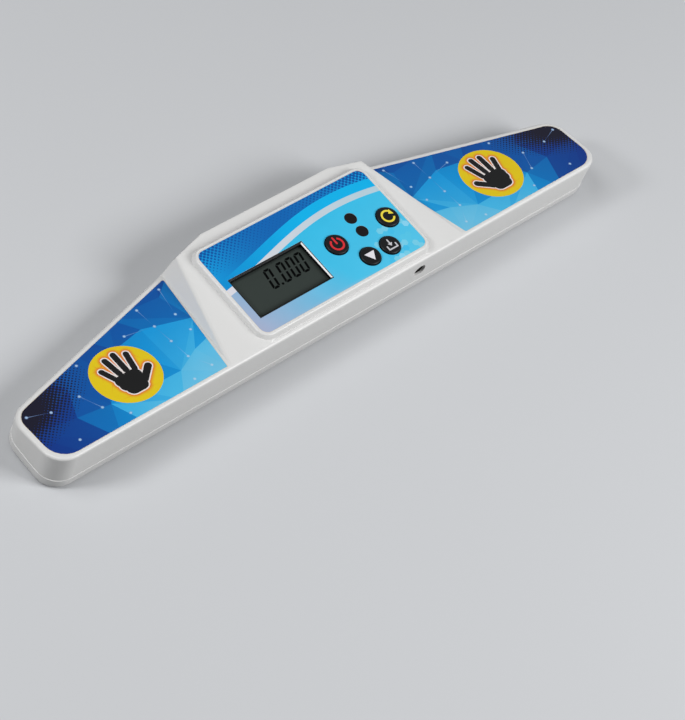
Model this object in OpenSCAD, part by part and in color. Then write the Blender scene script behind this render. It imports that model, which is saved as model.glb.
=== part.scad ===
// Hand-pad timer: a long low case with two sloping wings that carry touch pads,
// and a level console in the middle with a display, four rubber keys, two lamps,
// a data jack in its front wall and a battery bay underneath.
// X runs along the case, Y from the front wall to the back, Z up from the ground.

/* [Case] */
// Length of the case from tip to tip
case_len = 279; // [255:1:300]
// Depth from the front wall to the straight back edge
case_depth = 55.5; // [54:0.1:62]
// Depth at the tips, before the corners are rounded
tip_depth = 27.8; // [26:0.1:32]
// Length of the straight stretch of the back edge
back_len = 65.2; // [62:0.1:72]
// Height of the level front edge above the base face
front_h = 18.7; // [17.8:0.1:20]
// Fall of the wing tops towards the back, in degrees
wing_slope = 9.5; // [7:0.1:10.5]
// Plan radius of the front corner at each tip
front_corner_r = 8.9; // [7:0.1:12]
// Plan radius of the back corner at each tip
back_corner_r = 9.4; // [6:0.1:11]
// Plan radius where the slanted back edge meets the straight one
knee_r = 5; // [3:0.5:10]
// Radius round the top and bottom edges of the case
edge_r = 1.2; // [0.8:0.1:1.6]
// Thickness of the side walls
wall = 1.8; // [1.5:0.1:2.2]
// Thickness of the top faces
roof = 1.8; // [1.5:0.1:2]
// Height of the bottom shell above the base face
bottom_h = 4.6; // [3.6:0.1:5.4]
// Thickness of the bottom shell's floor
floor_t = 1.6; // [1.2:0.1:2]
// How far the bottom shell stands out past the top shell
ledge = 0.2; // [0.1:0.05:0.4]
// Height of the locating lip inside the parting line
lip_h = 1.2; // [0.8:0.1:1.8]
// Thickness of that lip
lip_t = 0.9; // [0.7:0.1:1.2]

/* [Console] */
// Length of the console's level top at the pads' front edge
console_len = 120.4; // [116:0.2:124]
// Angle at which the flanks close in towards the back, in degrees
flank_angle = 15.3; // [12:0.1:17]
// Sideways run of a flank for each millimetre of its height
flank_run = 0.62; // [0.45:0.01:0.75]
// Radius of the ridges where the flanks and the back meet the level top
ridge_r = 1.8; // [0.8:0.1:2.2]
// How far the console's back wall leans in at its top
back_lean = 1.6; // [0.8:0.1:2]
// Height of the plateau that carries the panel
plateau_rise = 2.4; // [2:0.1:3]
// Width of the sloping skirt round the plateau
plateau_skirt = 2; // [1.4:0.1:2.4]
// Height of the gentle foot outside the skirt
foot_rise = 0.5; // [0.2:0.1:0.8]
// Width of that foot
foot_run = 1.2; // [0.6:0.1:1.4]
// Width of the plain lip between the panel film and the skirt
plateau_lip = 0.7; // [0.4:0.1:1.2]

/* [Pads] */
// Width of the rim between a pad film and the case's sides and back
rim = 2.2; // [1.8:0.1:3]
// Width of the rim in front of a pad film
front_rim = 1.9; // [1.6:0.1:2.6]
// Radius of a pad film's front corner at the tip
pad_front_r = 8.2; // [6:0.1:10]
// Radius of a pad film's back corner at the tip
pad_back_r = 6.4; // [5:0.1:8]
// Distance from the middle to a pad film's inner edge, at the front
pad_front_x = 61.3; // [61:0.1:66]
// Distance from the middle to a pad film's inner edge, at the back
pad_back_x = 52.9; // [52.6:0.1:58]
// Thickness of the printed films
film_t = 0.3; // [0.2:0.05:0.5]
// How far the films lie below the surface round them
film_sunk = 0.05; // [0.05:0.01:0.1]
// Distance from a tip to the centre of its hand pad
pad_in = 45.8; // [40:0.1:50]
// Distance from the front wall to the centre of a hand pad
pad_y = 19.7; // [18:0.1:23]
// Diameter of the touch plate under a hand pad
plate_d = 28; // [20:0.5:30]
// Thickness of the touch plate
plate_t = 0.4; // [0.2:0.1:0.8]

/* [Panel] */
// Length of the panel film
panel_len = 84.3; // [82:0.1:87]
// Depth of the panel film
panel_depth = 41.7; // [40:0.1:43]
// Distance from the front wall to the panel film
panel_front = 4.3; // [3.8:0.1:6]
// Corner radius of the panel film
panel_r = 3.5; // [2:0.5:6]

/* [Display] */
// Space between the display window and the power key
window_gap = 6.3; // [5:0.1:8]
// Depth of the display window
window_depth = 19.5; // [16:0.1:21]
// Distance from the panel film's left edge to the window
window_in = 3.45; // [3:0.05:5]
// Distance from the panel film's front edge to the window
window_front = 6.75; // [6:0.05:8]
// Depth of the display's face below the panel
display_sunk = 2; // [1.9:0.1:2.2]
// Thickness of the display glass
lcd_t = 1.9; // [1.5:0.1:2]
// Width of the black frame that shows round the display
frame_w = 0.8; // [0.6:0.1:1.2]
// Width of the frame's flange under the window
frame_flange = 1.4; // [1.2:0.1:1.5]

/* [Keys] */
// Diameter of the power and reset keys
big_key_d = 9.2; // [8.4:0.1:9.6]
// Diameter of the mode and save keys
small_key_d = 8.4; // [7.6:0.1:8.8]
// Distance from the panel film's right edge to the centre line of the key group
keys_in = 19.75; // [19:0.05:21]
// Distance from that line to the big keys
big_key_x = 13.4; // [12.5:0.1:14]
// Distance from that line to the small keys
small_key_x = 5.2; // [5.1:0.1:5.6]
// Distance from the panel film's front edge to the big keys
big_key_y = 17.8; // [17:0.1:19]
// Distance from the panel film's front edge to the small keys
small_key_y = 7.1; // [6.5:0.1:7.5]
// Distance from the panel film's front edge to the far lamp
lamp_y = 24.7; // [24:0.1:26]
// Diameter of the lamp lenses
lamp_d = 5.1; // [4:0.1:5.5]
// Height of the keys above the panel
key_proud = 0.8; // [0.6:0.1:1]
// Travel of the keys
key_travel = 0.8; // [0.5:0.1:0.8]
// Gap round each key and lens
key_gap = 0.3; // [0.3:0.05:0.4]
// Width of the flange round the foot of each key
key_flange = 0.6; // [0.5:0.1:0.7]

/* [Jack] */
// Distance from the board's right end to the jack
jack_in = 5.7; // [5:0.1:8]
// Depth of the jack's axis below the front edge
jack_drop = 7.3; // [6:0.1:7.6]
// Diameter of the hole in the front wall
jack_hole_d = 5.8; // [5.6:0.1:6.6]
// Bore for a 3.5 mm plug
plug_bore_d = 3.6; // [3.55:0.01:3.7]
// Height of the jack body
jack_h = 5; // [4.8:0.1:5.2]
// Width of the jack body
jack_w = 6; // [5.6:0.1:6]
// Length of the jack body behind the wall
jack_len = 11; // [10:0.5:12]
// Depth of the plug's bore
plug_depth = 11; // [9:0.5:11]
// Diameter of the metal sleeve round the bore's mouth
sleeve_d = 4.4; // [4.2:0.1:4.6]
// Length of that sleeve
sleeve_len = 2; // [1.5:0.1:3]

/* [Batteries] */
// Diameter of a cell
cell_d = 10.5; // [10:0.1:10.5]
// Length of a cell over its button
cell_len = 44.5; // [43:0.1:44.5]
// Space between the two cells
cell_gap = 0.7; // [0.4:0.1:1]
// Room for the contacts at the ends of a cell
contact_room = 3; // [2.6:0.1:3.6]
// Wall of the battery bay
bay_wall = 1.2; // [1:0.1:1.5]
// Width of the battery door
door_w = 57.4; // [56:0.1:59]
// Thickness of the battery door
door_t = 1.8; // [1.6:0.1:2]
// Gap round the battery door
door_gap = 0.3; // [0.3:0.05:0.4]
// Width of the door's side tongues
tongue_w = 1.3; // [0.8:0.1:1.5]
// Number of grip grooves in the door
grip_count = 5; // [3:1:7]

/* [Boards] */
// Thickness of the circuit board
pcb_t = 1.2; // [1:0.1:1.6]
// How far the circuit board reaches past each end of the panel film
pcb_over = 0.85; // [0.4:0.05:1.5]
// Distance from the front wall to the circuit board
pcb_front = 4.2; // [4:0.1:5]
// Distance from the back wall to the circuit board
pcb_back = 6.8; // [6:0.1:9]
// Thickness of the key mat
mat_t = 0.8; // [0.6:0.1:0.9]

/* [Fixings] */
// Shank diameter of the case screws
screw_d = 2.2; // [2:0.1:2.6]
// Head diameter of the case screws
screw_head_d = 4.6; // [4:0.1:5]
// Height of the case screws' heads
screw_head_h = 1.2; // [1:0.1:1.5]
// Length of screw in the top shell
screw_bite = 4; // [3:0.1:4.5]
// Diameter of the screw posts
post_d = 6.4; // [5.8:0.1:7]
// Shank diameter of the board screws
pcb_screw_d = 1.8; // [1.6:0.1:2]
// Diameter of the rubber feet
foot_d = 8; // [6:0.5:10]
// Thickness of the rubber feet
foot_t = 1.2; // [1:0.1:1.5]
// How far the feet stand proud of the base
foot_proud = 0.6; // [0.4:0.1:0.8]
// Diameter of the insulated wires
wire_d = 1.1; // [0.8:0.1:1.3]

/* [Hidden] */
$fn = 48;

// Small overlap that keeps cuts clean, and a fine fit between still pieces
eps = 0.01;
fit = 0.1;

// Levels above the ground
base_z = foot_proud;
parting_z = base_z + bottom_h;
edge_z = base_z + front_h;
panel_z = edge_z + plateau_rise;
ceiling_z = panel_z - roof;
lcd_z = panel_z - display_sunk;
jack_z = edge_z - jack_drop;
pcb_z = jack_z + jack_h / 2;
board_top = pcb_z + pcb_t;
mat_top = board_top + mat_t;

// Plan lines, measured from the middle of the case
y_front = -case_depth / 2;
y_back = case_depth / 2;
y_pad = y_front + front_rim;
back_fall = (case_depth - tip_depth) / ((case_len - back_len) / 2);
skew = tan(flank_angle);
fall = tan(wing_slope);

// Panel, keys, window and lamps
panel_y = y_front + panel_front;
keys_x = panel_len / 2 - keys_in;
window_left = window_in - panel_len / 2;
window_len = keys_x - big_key_x - big_key_d / 2 - window_gap - window_left;
window_x = window_left + window_len / 2;
window_y = panel_y + window_front + window_depth / 2;
power_at = [keys_x - big_key_x, panel_y + big_key_y];
reset_at = [keys_x + big_key_x, panel_y + big_key_y];
mode_at = [keys_x - small_key_x, panel_y + small_key_y];
save_at = [keys_x + small_key_x, panel_y + small_key_y];
lamps_at = [[keys_x, panel_y + lamp_y], [keys_x, panel_y + big_key_y]];
keys = [[power_at, big_key_d], [reset_at, big_key_d], [mode_at, small_key_d],
    [save_at, small_key_d]];

// Key section: flange under the top face, stem and contact pill over the board
flange_top = ceiling_z - key_gap;
flange_t = 0.7;
key_foot = flange_top - flange_t;
pill_z = board_top + key_travel + 0.05;
pill_t = 0.4;
pill_d = 4;

// Battery bay: two cells side by side under the board
door_top = base_z + door_t;
cell_z = door_top + 0.2 + cell_d / 2;
bay_top = cell_z + cell_d / 2 + fit;
bay_len = cell_len + 2 * contact_room;
bay_depth = 2 * cell_d + cell_gap + 2 * 0.3;
bay_back = y_back - wall - 3.5;
bay_y = bay_back - bay_depth / 2;
cell_rows = [bay_y - (cell_d + cell_gap) / 2, bay_y + (cell_d + cell_gap) / 2];
door_front = bay_back - bay_depth - 1.5;
frame_t = 1.2;

// Board, and what hangs under it in front of the battery bay
pcb_y = y_front + pcb_front;
pcb_depth = case_depth - pcb_front - pcb_back;
pcb_len = panel_len + 2 * pcb_over;
jack_x = pcb_len / 2 - jack_in;
blob_at = [-20, pcb_y + 11];
crystal_at = [-4, pcb_y + 9];
cap_spots = [[6, pcb_y + 5], [6, pcb_y + 12], [14, pcb_y + 15]];
jack_face = y_front + 1.3;
sleeve_proud = 0.4;
pin_spots = [[jack_x, pcb_y + 2], [jack_x - 2, pcb_y + 6.5], [jack_x + 2, pcb_y + 6.5]];
pad_lead_end = [pcb_len / 2 - 2.5, y_front + pad_y];
battery_lead_x = bay_len / 2 + bay_wall + 3;
wire_holes = [for (s = [-1, 1]) [s * pad_lead_end[0], pad_lead_end[1]],
    for (y = cell_rows) [battery_lead_x, y]];

// Key mat, glass and zebra strips
mat_left = window_x + window_len / 2 + frame_flange + 1;
mat_right = pcb_len / 2 - 1;
mat_back = lamps_at[0][1] + 4;
web_run = key_flange + 0.1;
glass_len = window_len + 0.8;
glass_depth = window_depth + 0.8;
zebra_w = 1.6;
zebra_len = glass_len - 3;

// Door: tongues half way up, finger grooves near the back
tongue_z = base_z + 1;
grip_len = 18;

// Cells: buttons on flat plates, flat ends on springs
plate_back = 0.4;
cell_shift = contact_room - plate_back;
spring_wire = 0.5;
tab_z = cell_z + cell_d / 2 - 1.4;

// Fixings in plan
screw_sunk = 0.6;
pcb_bite = 2.2;
pcb_head_d = 3;
pad_x = case_len / 2 - pad_in;
function both_sides(spots) = [for (s = [-1, 1], p = spots) [s * p[0], p[1]]];
function share(x, y) = [x, y_front + y * case_depth];
case_screw_spots = both_sides([share(pcb_len / 2 + post_d / 2 + 4, 0.18),
    share(0.445 * case_len / 2, 0.59),
    share(pad_x + plate_d / 2 + post_d / 2 + 0.6, 0.29)]);
foot_at = both_sides([share(0.9 * case_len / 2, 0.18), share(0.588 * case_len / 2, 0.61)]);
board_screw_spots = concat([[-pcb_len / 2 + 1.9, pcb_y + 2.6],
    [pcb_len / 2 - 2.5, pcb_y + jack_len - 0.1]],
    both_sides([[pcb_len / 2 - 3.5, pcb_y + pcb_depth - 5]]));

// --- Outlines -------------------------------------------------------------

function unit(v) = v / norm(v);

// Arc of radius r that rounds the corner b between a and c
function corner(a, b, c, r, n) = let (
    u = unit(a - b), v = unit(c - b), half = acos(u * v) / 2,
    centre = b + unit(u + v) * r / sin(half),
    p = b + u * r / tan(half) - centre, q = b + v * r / tan(half) - centre,
    start = atan2(p[1], p[0]), turn = atan2(q[1], q[0]) - start,
    sweep = turn > 180 ? turn - 360 : turn < -180 ? turn + 360 : turn
) [for (i = [0 : n]) centre + r * [cos(start + sweep * i / n), sin(start + sweep * i / n)]];

// Polygon with each corner rounded by its own radius
function rounded(pts, radii, n = 6) = let (m = len(pts))
    [for (i = [0 : m - 1]) each corner(pts[(i + m - 1) % m], pts[i], pts[(i + 1) % m],
        radii[i], n)];

function rounded_box(x, y, w, d, r) = rounded([[x - w / 2, y - d / 2], [x + w / 2, y - d / 2],
    [x + w / 2, y + d / 2], [x - w / 2, y + d / 2]], [r, r, r, r]);

// Back edge of the case at a distance x from the middle, moved in by inset
function back_line(x, inset) =
    y_back - back_fall * (x - back_len / 2) - inset * sqrt(1 + back_fall * back_fall);

// The case in plan, with every side moved in by inset
function case_plan(inset) = let (
    tip = case_len / 2 - inset,
    knee = back_len / 2 + inset * (1 - sqrt(1 + back_fall * back_fall)) / back_fall,
    fr = max(front_corner_r - inset, 1), br = max(back_corner_r - inset, 1)
) rounded([[-tip, y_front + inset], [tip, y_front + inset], [tip, back_line(tip, inset)],
    [knee, y_back - inset], [-knee, y_back - inset], [-tip, back_line(tip, inset)]],
    [fr, fr, br, knee_r, knee_r, br]);

// A pad film in plan, on the side given by s
function pad_plan(s, gap) = let (tip = case_len / 2 - rim - gap)
    rounded([[s * (pad_front_x + gap), y_pad + gap], [s * tip, y_pad + gap],
    [s * tip, back_line(tip, rim + gap)], [s * (pad_back_x + gap),
    back_line(pad_back_x + gap, rim + gap)]],
    [0.8, pad_front_r, pad_back_r, 0.8]);

// Height of the wing top, and of the case's top at any place off the plateau
function wing_z(y) = edge_z - fall * max(0, y - y_pad);
function top_z(x, y) = abs(x) < flank_x(y, edge_z, 0) ? edge_z : wing_z(y);

// Side of the console at a depth y and height z
function flank_x(y, z, inset) =
    console_len / 2 - skew * (y - y_pad) + flank_run * (edge_z - z) - inset;

// Corner where a flank meets the slanted back edge
function flank_end(z, inset, lean) = let (
    in = inset + lean, near = back_fall * back_len / 2 - in * sqrt(1 + back_fall * back_fall),
    x = (flank_x(y_back, z, inset - ledge) - skew * near) / (1 - skew * back_fall)
) [x, back_line(x, in)];

// Console section at height z: moved in by inset, and its back leaning in further.
// The ledge at the parting line runs along the back and not along the flanks.
function console_ring(z, inset, lean) = let (
    yf = y_front + max(inset, ledge + edge_r), in = inset + lean,
    knee = back_len / 2 + in * (1 - sqrt(1 + back_fall * back_fall)) / back_fall,
    side = flank_end(z, inset, lean), half = [[flank_x(yf, z, inset - ledge), yf], side,
    [knee, y_back - in]]
) [for (s = [-1, 1], p = half) [s * p[0], p[1], z]];

function lift(plan, z) = [for (p = plan) [p[0], p[1], z]];
function drape(plan, drop) = [for (p = plan) [p[0], p[1], wing_z(p[1]) - drop]];

// --- Shared shapes ----------------------------------------------------------

module solid(points) {
    hull() polyhedron(points, [for (i = [0 : len(points) - 3]) [i, i + 1, i + 2]]);
}

// Slab that follows the wing top, from depth a to depth b below it
module wing_slab(a, b) {
    translate([0, y_pad, edge_z]) rotate([-wing_slope, 0, 0])
        translate([-case_len / 2, -rim, -b]) cube([case_len, case_depth, b - a]);
}

// Round wire along a route
module wire(route, d, sides = 8) {
    n = len(route);
    way = [for (i = [0 : n - 1]) unit(route[min(i + 1, n - 1)] - route[max(i - 1, 0)])];
    side = [for (w = way) unit(cross(w, abs(w[2]) > 0.9 ? [1, 0, 0] : [0, 0, 1]))];
    points = [for (i = [0 : n - 1], k = [0 : sides - 1]) let (a = 360 * k / sides)
        route[i] + d / 2 * (cos(a) * side[i] + sin(a) * cross(way[i], side[i]))];
    walls = [for (i = [0 : n - 2], k = [0 : sides - 1]) let (j = (k + 1) % sides)
        [i * sides + k, i * sides + j, (i + 1) * sides + j, (i + 1) * sides + k]];
    ends = [[for (k = [sides - 1 : -1 : 0]) k],
        [for (k = [0 : sides - 1]) (n - 1) * sides + k]];
    polyhedron(points, concat(walls, ends), convexity = 4);
}

// --- Casing -----------------------------------------------------------------

// Wings and front edge as one low wedge with rounded top edges
module wedge() {
    r = edge_r;
    solid(concat(lift(case_plan(ledge), parting_z), [for (a = [0 : 30 : 90])
        each drape(case_plan(ledge + r - r * cos(a)), r - r * sin(a))]));
}

// Room inside that wedge, under the level front edge and the sloping wings
module wedge_room() {
    far = y_back + 1;
    intersection() {
        translate([0, 0, parting_z - 1]) linear_extrude(edge_z) polygon(case_plan(wall));
        rotate([90, 0, 90]) linear_extrude(case_len, center = true)
            polygon([[y_front, 0], [y_front, edge_z - roof], [y_pad, edge_z - roof],
                [far, wing_z(far) - roof], [far, 0]]);
    }
}

// Level block in the middle, with leaning flanks and back and a rounded ridge
module console_block(inset, top, low) {
    shoulder = console_ring(wing_z(y_back - rim) - 0.75 * edge_r, inset, 0);
    level = edge_z - top;
    r = ridge_r;
    solid(concat([for (p = shoulder) [p[0], p[1], low]], shoulder,
        console_ring(level - 0.47 * r, inset, back_lean),
        console_ring(level - 0.13 * r, inset + 0.07 * r, back_lean + 0.05 * r),
        console_ring(level, inset + 0.55 * r, back_lean)));
}

// Ring round the panel film, at a distance out from it and a height z
function panel_ring(out, z) = lift(rounded_box(0, panel_y + panel_depth / 2,
    panel_len + 2 * out, panel_depth + 2 * out, panel_r + out), z);

// Low plateau that carries the panel, inside a sloping skirt
module plateau(inset, top, low) {
    skirt = plateau_lip + plateau_skirt - inset;
    lip = plateau_lip - inset;
    solid(concat(panel_ring(skirt, low), panel_ring(lip + 0.6, panel_z - top - 0.35),
        panel_ring(lip + 0.2, panel_z - top - 0.08), panel_ring(lip, panel_z - top)));
}

// Gentle foot that eases the skirt into the level top, except along the front
module plateau_foot() {
    out = plateau_lip + plateau_skirt;
    steep = plateau_skirt * foot_rise / plateau_rise;
    y0 = panel_y - out;
    y1 = panel_y + panel_depth + out;
    mid = (y0 + y1) / 2;
    solid(concat(
        lift(rounded_box(0, mid + foot_run / 2, panel_len + 2 * (out + foot_run),
            y1 - y0 + foot_run, panel_r + out), edge_z - 0.5),
        lift(rounded_box(0, mid + foot_run / 2, panel_len + 2 * (out + foot_run),
            y1 - y0 + foot_run, panel_r + out), edge_z),
        panel_ring(out - steep, edge_z + foot_rise)));
}

function panel_plan(gap) = rounded_box(0, panel_y + panel_depth / 2, panel_len + 2 * gap,
    panel_depth + 2 * gap, panel_r);

// Block of a given size centred on the display window
module at_window(w, d, z0, z1) {
    translate([window_x - w / 2, window_y - d / 2, z0]) cube([w, d, z1 - z0]);
}

// Screw boss that hangs from the top face down to the parting line
module screw_boss(x, y) {
    translate([x, y, parting_z])
        cylinder(d = post_d, h = top_z(x, y + post_d / 2) - roof / 2 - parting_z);
}

module top_shell() color("whitesmoke") {
    difference() {
        union() {
            difference() {
                union() {
                    wedge();
                    console_block(ledge, 0, parting_z);
                    plateau(0, 0, edge_z - 1);
                    plateau_foot();
                }
                wedge_room();
                console_block(wall, roof, parting_z - 1);
                plateau(roof, roof, edge_z - roof - 1);
            }
            for (p = case_screw_spots) screw_boss(p[0], p[1]);
            for (p = board_screw_spots) translate([p[0], p[1], board_top])
                cylinder(d = 3.8, h = ceiling_z + roof / 2 - board_top);
        }
        for (s = [-1, 1]) intersection() {
            linear_extrude(panel_z) polygon(pad_plan(s, -fit / 2));
            wing_slab(-2, film_t + film_sunk);
        }
        translate([0, 0, panel_z - film_t - film_sunk]) linear_extrude(2)
            polygon(panel_plan(fit / 2));
        at_window(window_len, window_depth, ceiling_z - 2, panel_z + 1);
        for (k = keys) translate([k[0][0], k[0][1], ceiling_z - 2])
            cylinder(d = k[1] + 2 * key_gap, h = 6);
        for (p = lamps_at) translate([p[0], p[1], ceiling_z - 2])
            cylinder(d = lamp_d + fit, h = 6);
        translate([jack_x, y_front - 1, jack_z]) rotate([-90, 0, 0])
            cylinder(d = jack_hole_d, h = wall + 1.5);
        for (p = case_screw_spots) translate([p[0], p[1], parting_z - 1])
            cylinder(d = screw_d + fit, h = screw_bite + 1.4);
        for (p = board_screw_spots) translate([p[0], p[1], board_top - 1])
            cylinder(d = pcb_screw_d + fit, h = pcb_bite + 1.3);
    }
}

// Tray with a locating lip, screw posts, foot recesses and the battery bay
module bottom_shell() color("whitesmoke") {
    difference() {
        union() {
            difference() {
                solid(concat(lift(case_plan(edge_r), base_z),
                    lift(case_plan(0.3 * edge_r), base_z + 0.3 * edge_r),
                    lift(case_plan(0), base_z + edge_r),
                    lift(case_plan(0), parting_z - ledge / 2),
                    lift(case_plan(ledge / 2), parting_z)));
                translate([0, 0, base_z + floor_t]) linear_extrude(bottom_h)
                    polygon(case_plan(wall));
            }
            locating_lip();
            for (p = case_screw_spots) translate([p[0], p[1], base_z + eps])
                cylinder(d = post_d, h = bottom_h - eps);
            for (p = foot_at) translate([p[0], p[1], base_z + eps])
                cylinder(d = foot_d + 2.4, h = foot_t - foot_proud + 1.2);
            battery_bay();
        }
        for (p = case_screw_spots) translate([p[0], p[1], base_z - 1]) {
            cylinder(d = screw_d + 4 * fit, h = bottom_h + 2);
            cylinder(d = screw_head_d + 6 * fit, h = 1 + screw_sunk + screw_head_h);
        }
        for (p = foot_at) translate([p[0], p[1], base_z - 1])
            cylinder(d = foot_d, h = 1 + foot_t - foot_proud);
        // Door recess, with a wider groove along each side for the door's tongues
        bay_cut(door_w + 2 * door_gap, base_z - 1, door_top + door_gap);
        bay_cut(door_w + 2 * (tongue_w + door_gap), tongue_z - door_gap,
            door_top + door_gap);
        // Well for the two cells, and slots for the solder tabs of the contacts
        translate([-bay_len / 2, bay_back - bay_depth, base_z])
            cube([bay_len, bay_depth, bay_top - base_z]);
        for (y = cell_rows) translate([0, y - 1.6, tab_z - fit])
            cube([bay_len / 2 + bay_wall + 1, 3.2, plate_back + 2 * fit]);
    }
}

// Ring inside the parting line, with a root that ties it to the wall below
module locating_lip() {
    out = wall + fit;
    low = base_z + floor_t - fit;
    difference() {
        union() {
            translate([0, 0, low]) linear_extrude(parting_z - low)
                polygon(case_plan(wall / 2));
            translate([0, 0, low]) linear_extrude(parting_z + lip_h - low)
                polygon(case_plan(out));
        }
        translate([0, 0, base_z]) linear_extrude(bottom_h + 2 * lip_h)
            polygon(case_plan(out + lip_t));
    }
}

// Solid part of the bay: a roofed box over the cells on a thick door frame
module battery_bay() {
    w = bay_len + 2 * bay_wall;
    d = bay_depth + 2 * bay_wall;
    translate([-w / 2, bay_back + bay_wall - d, base_z + eps])
        cube([w, d, bay_top + 0.8 - base_z]);
    fw = door_w + 2 * (tongue_w + door_gap + bay_wall);
    translate([-fw / 2, door_front - door_gap - bay_wall, base_z + eps])
        cube([fw, y_back - wall / 2 - door_front + door_gap + bay_wall,
            door_t + door_gap + frame_t]);
}

module bay_cut(w, z0, z1) {
    translate([-w / 2, door_front - door_gap, z0])
        cube([w, y_back - door_front + door_gap + 1, z1 - z0]);
}

// Sliding door, level with the base and with the back wall
module battery_door() color("whitesmoke") {
    d = y_back - door_front;
    difference() {
        union() {
            translate([-door_w / 2, door_front, base_z]) cube([door_w, d, door_t]);
            translate([-door_w / 2 - tongue_w, door_front, tongue_z])
                cube([door_w + 2 * tongue_w, d - wall - 1, door_top - tongue_z]);
        }
        // Bottom edge at the back, bevelled to follow the case's
        translate([0, y_back, base_z]) rotate([45, 0, 0])
            cube([case_len, edge_r, edge_r], center = true);
        for (i = [0 : grip_count - 1])
            translate([-grip_len / 2, y_back - 6 - 2 * i, base_z - 1])
                cube([grip_len, 1, 1.6]);
    }
}

// --- Films ------------------------------------------------------------------

module pad_film(s) color("royalblue") intersection() {
    linear_extrude(panel_z) polygon(pad_plan(s, 0));
    wing_slab(film_sunk, film_t + film_sunk);
}

module left_pad_film() pad_film(-1);

module right_pad_film() pad_film(1);

module panel_film() color("deepskyblue")
    translate([0, 0, panel_z - film_t - film_sunk]) difference() {
        linear_extrude(film_t) polygon(panel_plan(0));
        at_window(window_len, window_depth, -1, 1);
        for (k = keys) translate([k[0][0], k[0][1], -1])
            cylinder(d = k[1] + 2 * key_gap, h = 2);
        for (p = lamps_at) translate([p[0], p[1], -1]) cylinder(d = lamp_d + fit, h = 2);
    }

// --- Display ----------------------------------------------------------------

// Black frame: a lip inside the window over a skirt that stands on the board
module display_frame() color("black") difference() {
    union() {
        at_window(window_len - fit, window_depth - fit, ceiling_z - eps,
            panel_z - film_t - film_sunk);
        at_window(window_len + 2 * frame_flange, window_depth + 2 * frame_flange, board_top,
            ceiling_z);
    }
    at_window(window_len - 2 * frame_w, window_depth - 2 * frame_w, board_top - 1, panel_z);
    at_window(glass_len + fit, glass_depth + fit, board_top - 1, lcd_z);
}

module lcd_glass() color([0.25, 0.28, 0.26])
    at_window(glass_len, glass_depth, lcd_z - lcd_t, lcd_z);

// Conductive rubber strips between the board and the glass
module lcd_zebra_strips() color("dimgray")
    for (s = [-1, 1]) translate([window_x - zebra_len / 2,
        window_y + s * (glass_depth / 2 - 1.2) - zebra_w / 2, board_top])
        cube([zebra_len, zebra_w, lcd_z - lcd_t - board_top]);

// --- Board ------------------------------------------------------------------

module main_pcb() color("darkgreen") difference() {
    translate([0, 0, pcb_z]) linear_extrude(pcb_t) polygon(rounded_box(0,
        pcb_y + pcb_depth / 2, pcb_len, pcb_depth, 2));
    for (p = board_screw_spots) translate([p[0], p[1], pcb_z - 1])
        cylinder(d = pcb_screw_d + 2 * fit, h = pcb_t + 2);
    for (p = pin_spots) translate([p[0], p[1], pcb_z - 1]) cylinder(d = 1.2, h = pcb_t + 2);
    for (p = wire_holes) translate([p[0], p[1], pcb_z - 1])
        cylinder(d = wire_d + fit, h = pcb_t + 2);
}

// Black resin dome over the bonded controller, on the board's underside
module controller_blob() color([0.08, 0.08, 0.08])
    translate([blob_at[0], blob_at[1], pcb_z]) rotate_extrude()
        polygon([[0, 0], for (a = [0 : 15 : 90]) [5.5 * cos(a), -1.1 * sin(a)]]);

module crystal_can() color("silver") translate([crystal_at[0], crystal_at[1], pcb_z - 1.6])
    linear_extrude(1.6) polygon(rounded_box(0, 0, 6, 2.4, 1.1));

module capacitors() color("dimgray")
    for (p = cap_spots) translate([p[0], p[1], pcb_z - 1.5]) linear_extrude(1.5)
        polygon(rounded_box(0, 0, 3.4, 2, 0.3));

module status_led(p) color("mistyrose") {
    translate([p[0] - 1.6, p[1] - 0.8, board_top]) cube([3.2, 1.6, 0.5]);
    translate([p[0] - 1.05, p[1] - 0.8, board_top + 0.5]) cube([2.1, 1.6, 0.4]);
}

// Smoked lens: a disc in the panel, a flange under the top face and a light guide
module status_lens(p) color([0.12, 0.03, 0.03]) translate([p[0], p[1], 0])
    rotate_extrude() {
        r = lamp_d / 2;
        polygon([[0, board_top + 1.1], [1.5, board_top + 1.1], [1.5, ceiling_z - 0.7],
            [r + 0.7, ceiling_z - 0.7], [r + 0.7, ceiling_z], [r, ceiling_z],
            [r, panel_z - 0.1], [r - 0.1, panel_z], [0, panel_z]]);
    }

module far_status_led() status_led(lamps_at[0]);

module near_status_led() status_led(lamps_at[1]);

module far_status_lens() status_lens(lamps_at[0]);

module near_status_lens() status_lens(lamps_at[1]);

// --- Keys -------------------------------------------------------------------

// Silicone mat on the board, with a hole for each key, lamp and screw boss
module keypad_mat() color([0.15, 0.15, 0.16]) difference() {
    translate([0, 0, board_top]) linear_extrude(mat_t) polygon(rounded([
        [mat_left, pcb_y + 1], [mat_right, pcb_y + 1], [mat_right, mat_back],
        [mat_left, mat_back]], [2, 2, 2, 2]));
    for (k = keys) translate([k[0][0], k[0][1], board_top - 1])
        cylinder(d = k[1] + 2 * web_run, h = mat_t + 2);
    for (p = lamps_at) translate([p[0], p[1], board_top - 1])
        cylinder(d = lamp_d - 0.6, h = mat_t + 2);
    for (p = board_screw_spots) translate([p[0], p[1], board_top - 1])
        cylinder(d = 4.6, h = mat_t + 2);
}

// Rubber key: a crowned cap, a flange that stays under the top face, and a stem
module key_cap(k) color([0.1, 0.1, 0.1]) translate([k[0][0], k[0][1], 0])
    rotate_extrude() {
        r = k[1] / 2;
        top = panel_z + key_proud;
        polygon([[0, pill_z + pill_t], [pill_d / 2 + 0.3, pill_z + pill_t],
            [pill_d / 2 + 0.3, key_foot], [r + key_flange, key_foot],
            [r + key_flange, flange_top], [r, flange_top], [r, top - 0.5],
            [r - 0.15, top - 0.2], [r - 0.45, top - 0.05], [r - 1, top], [0, top]]);
    }

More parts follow.
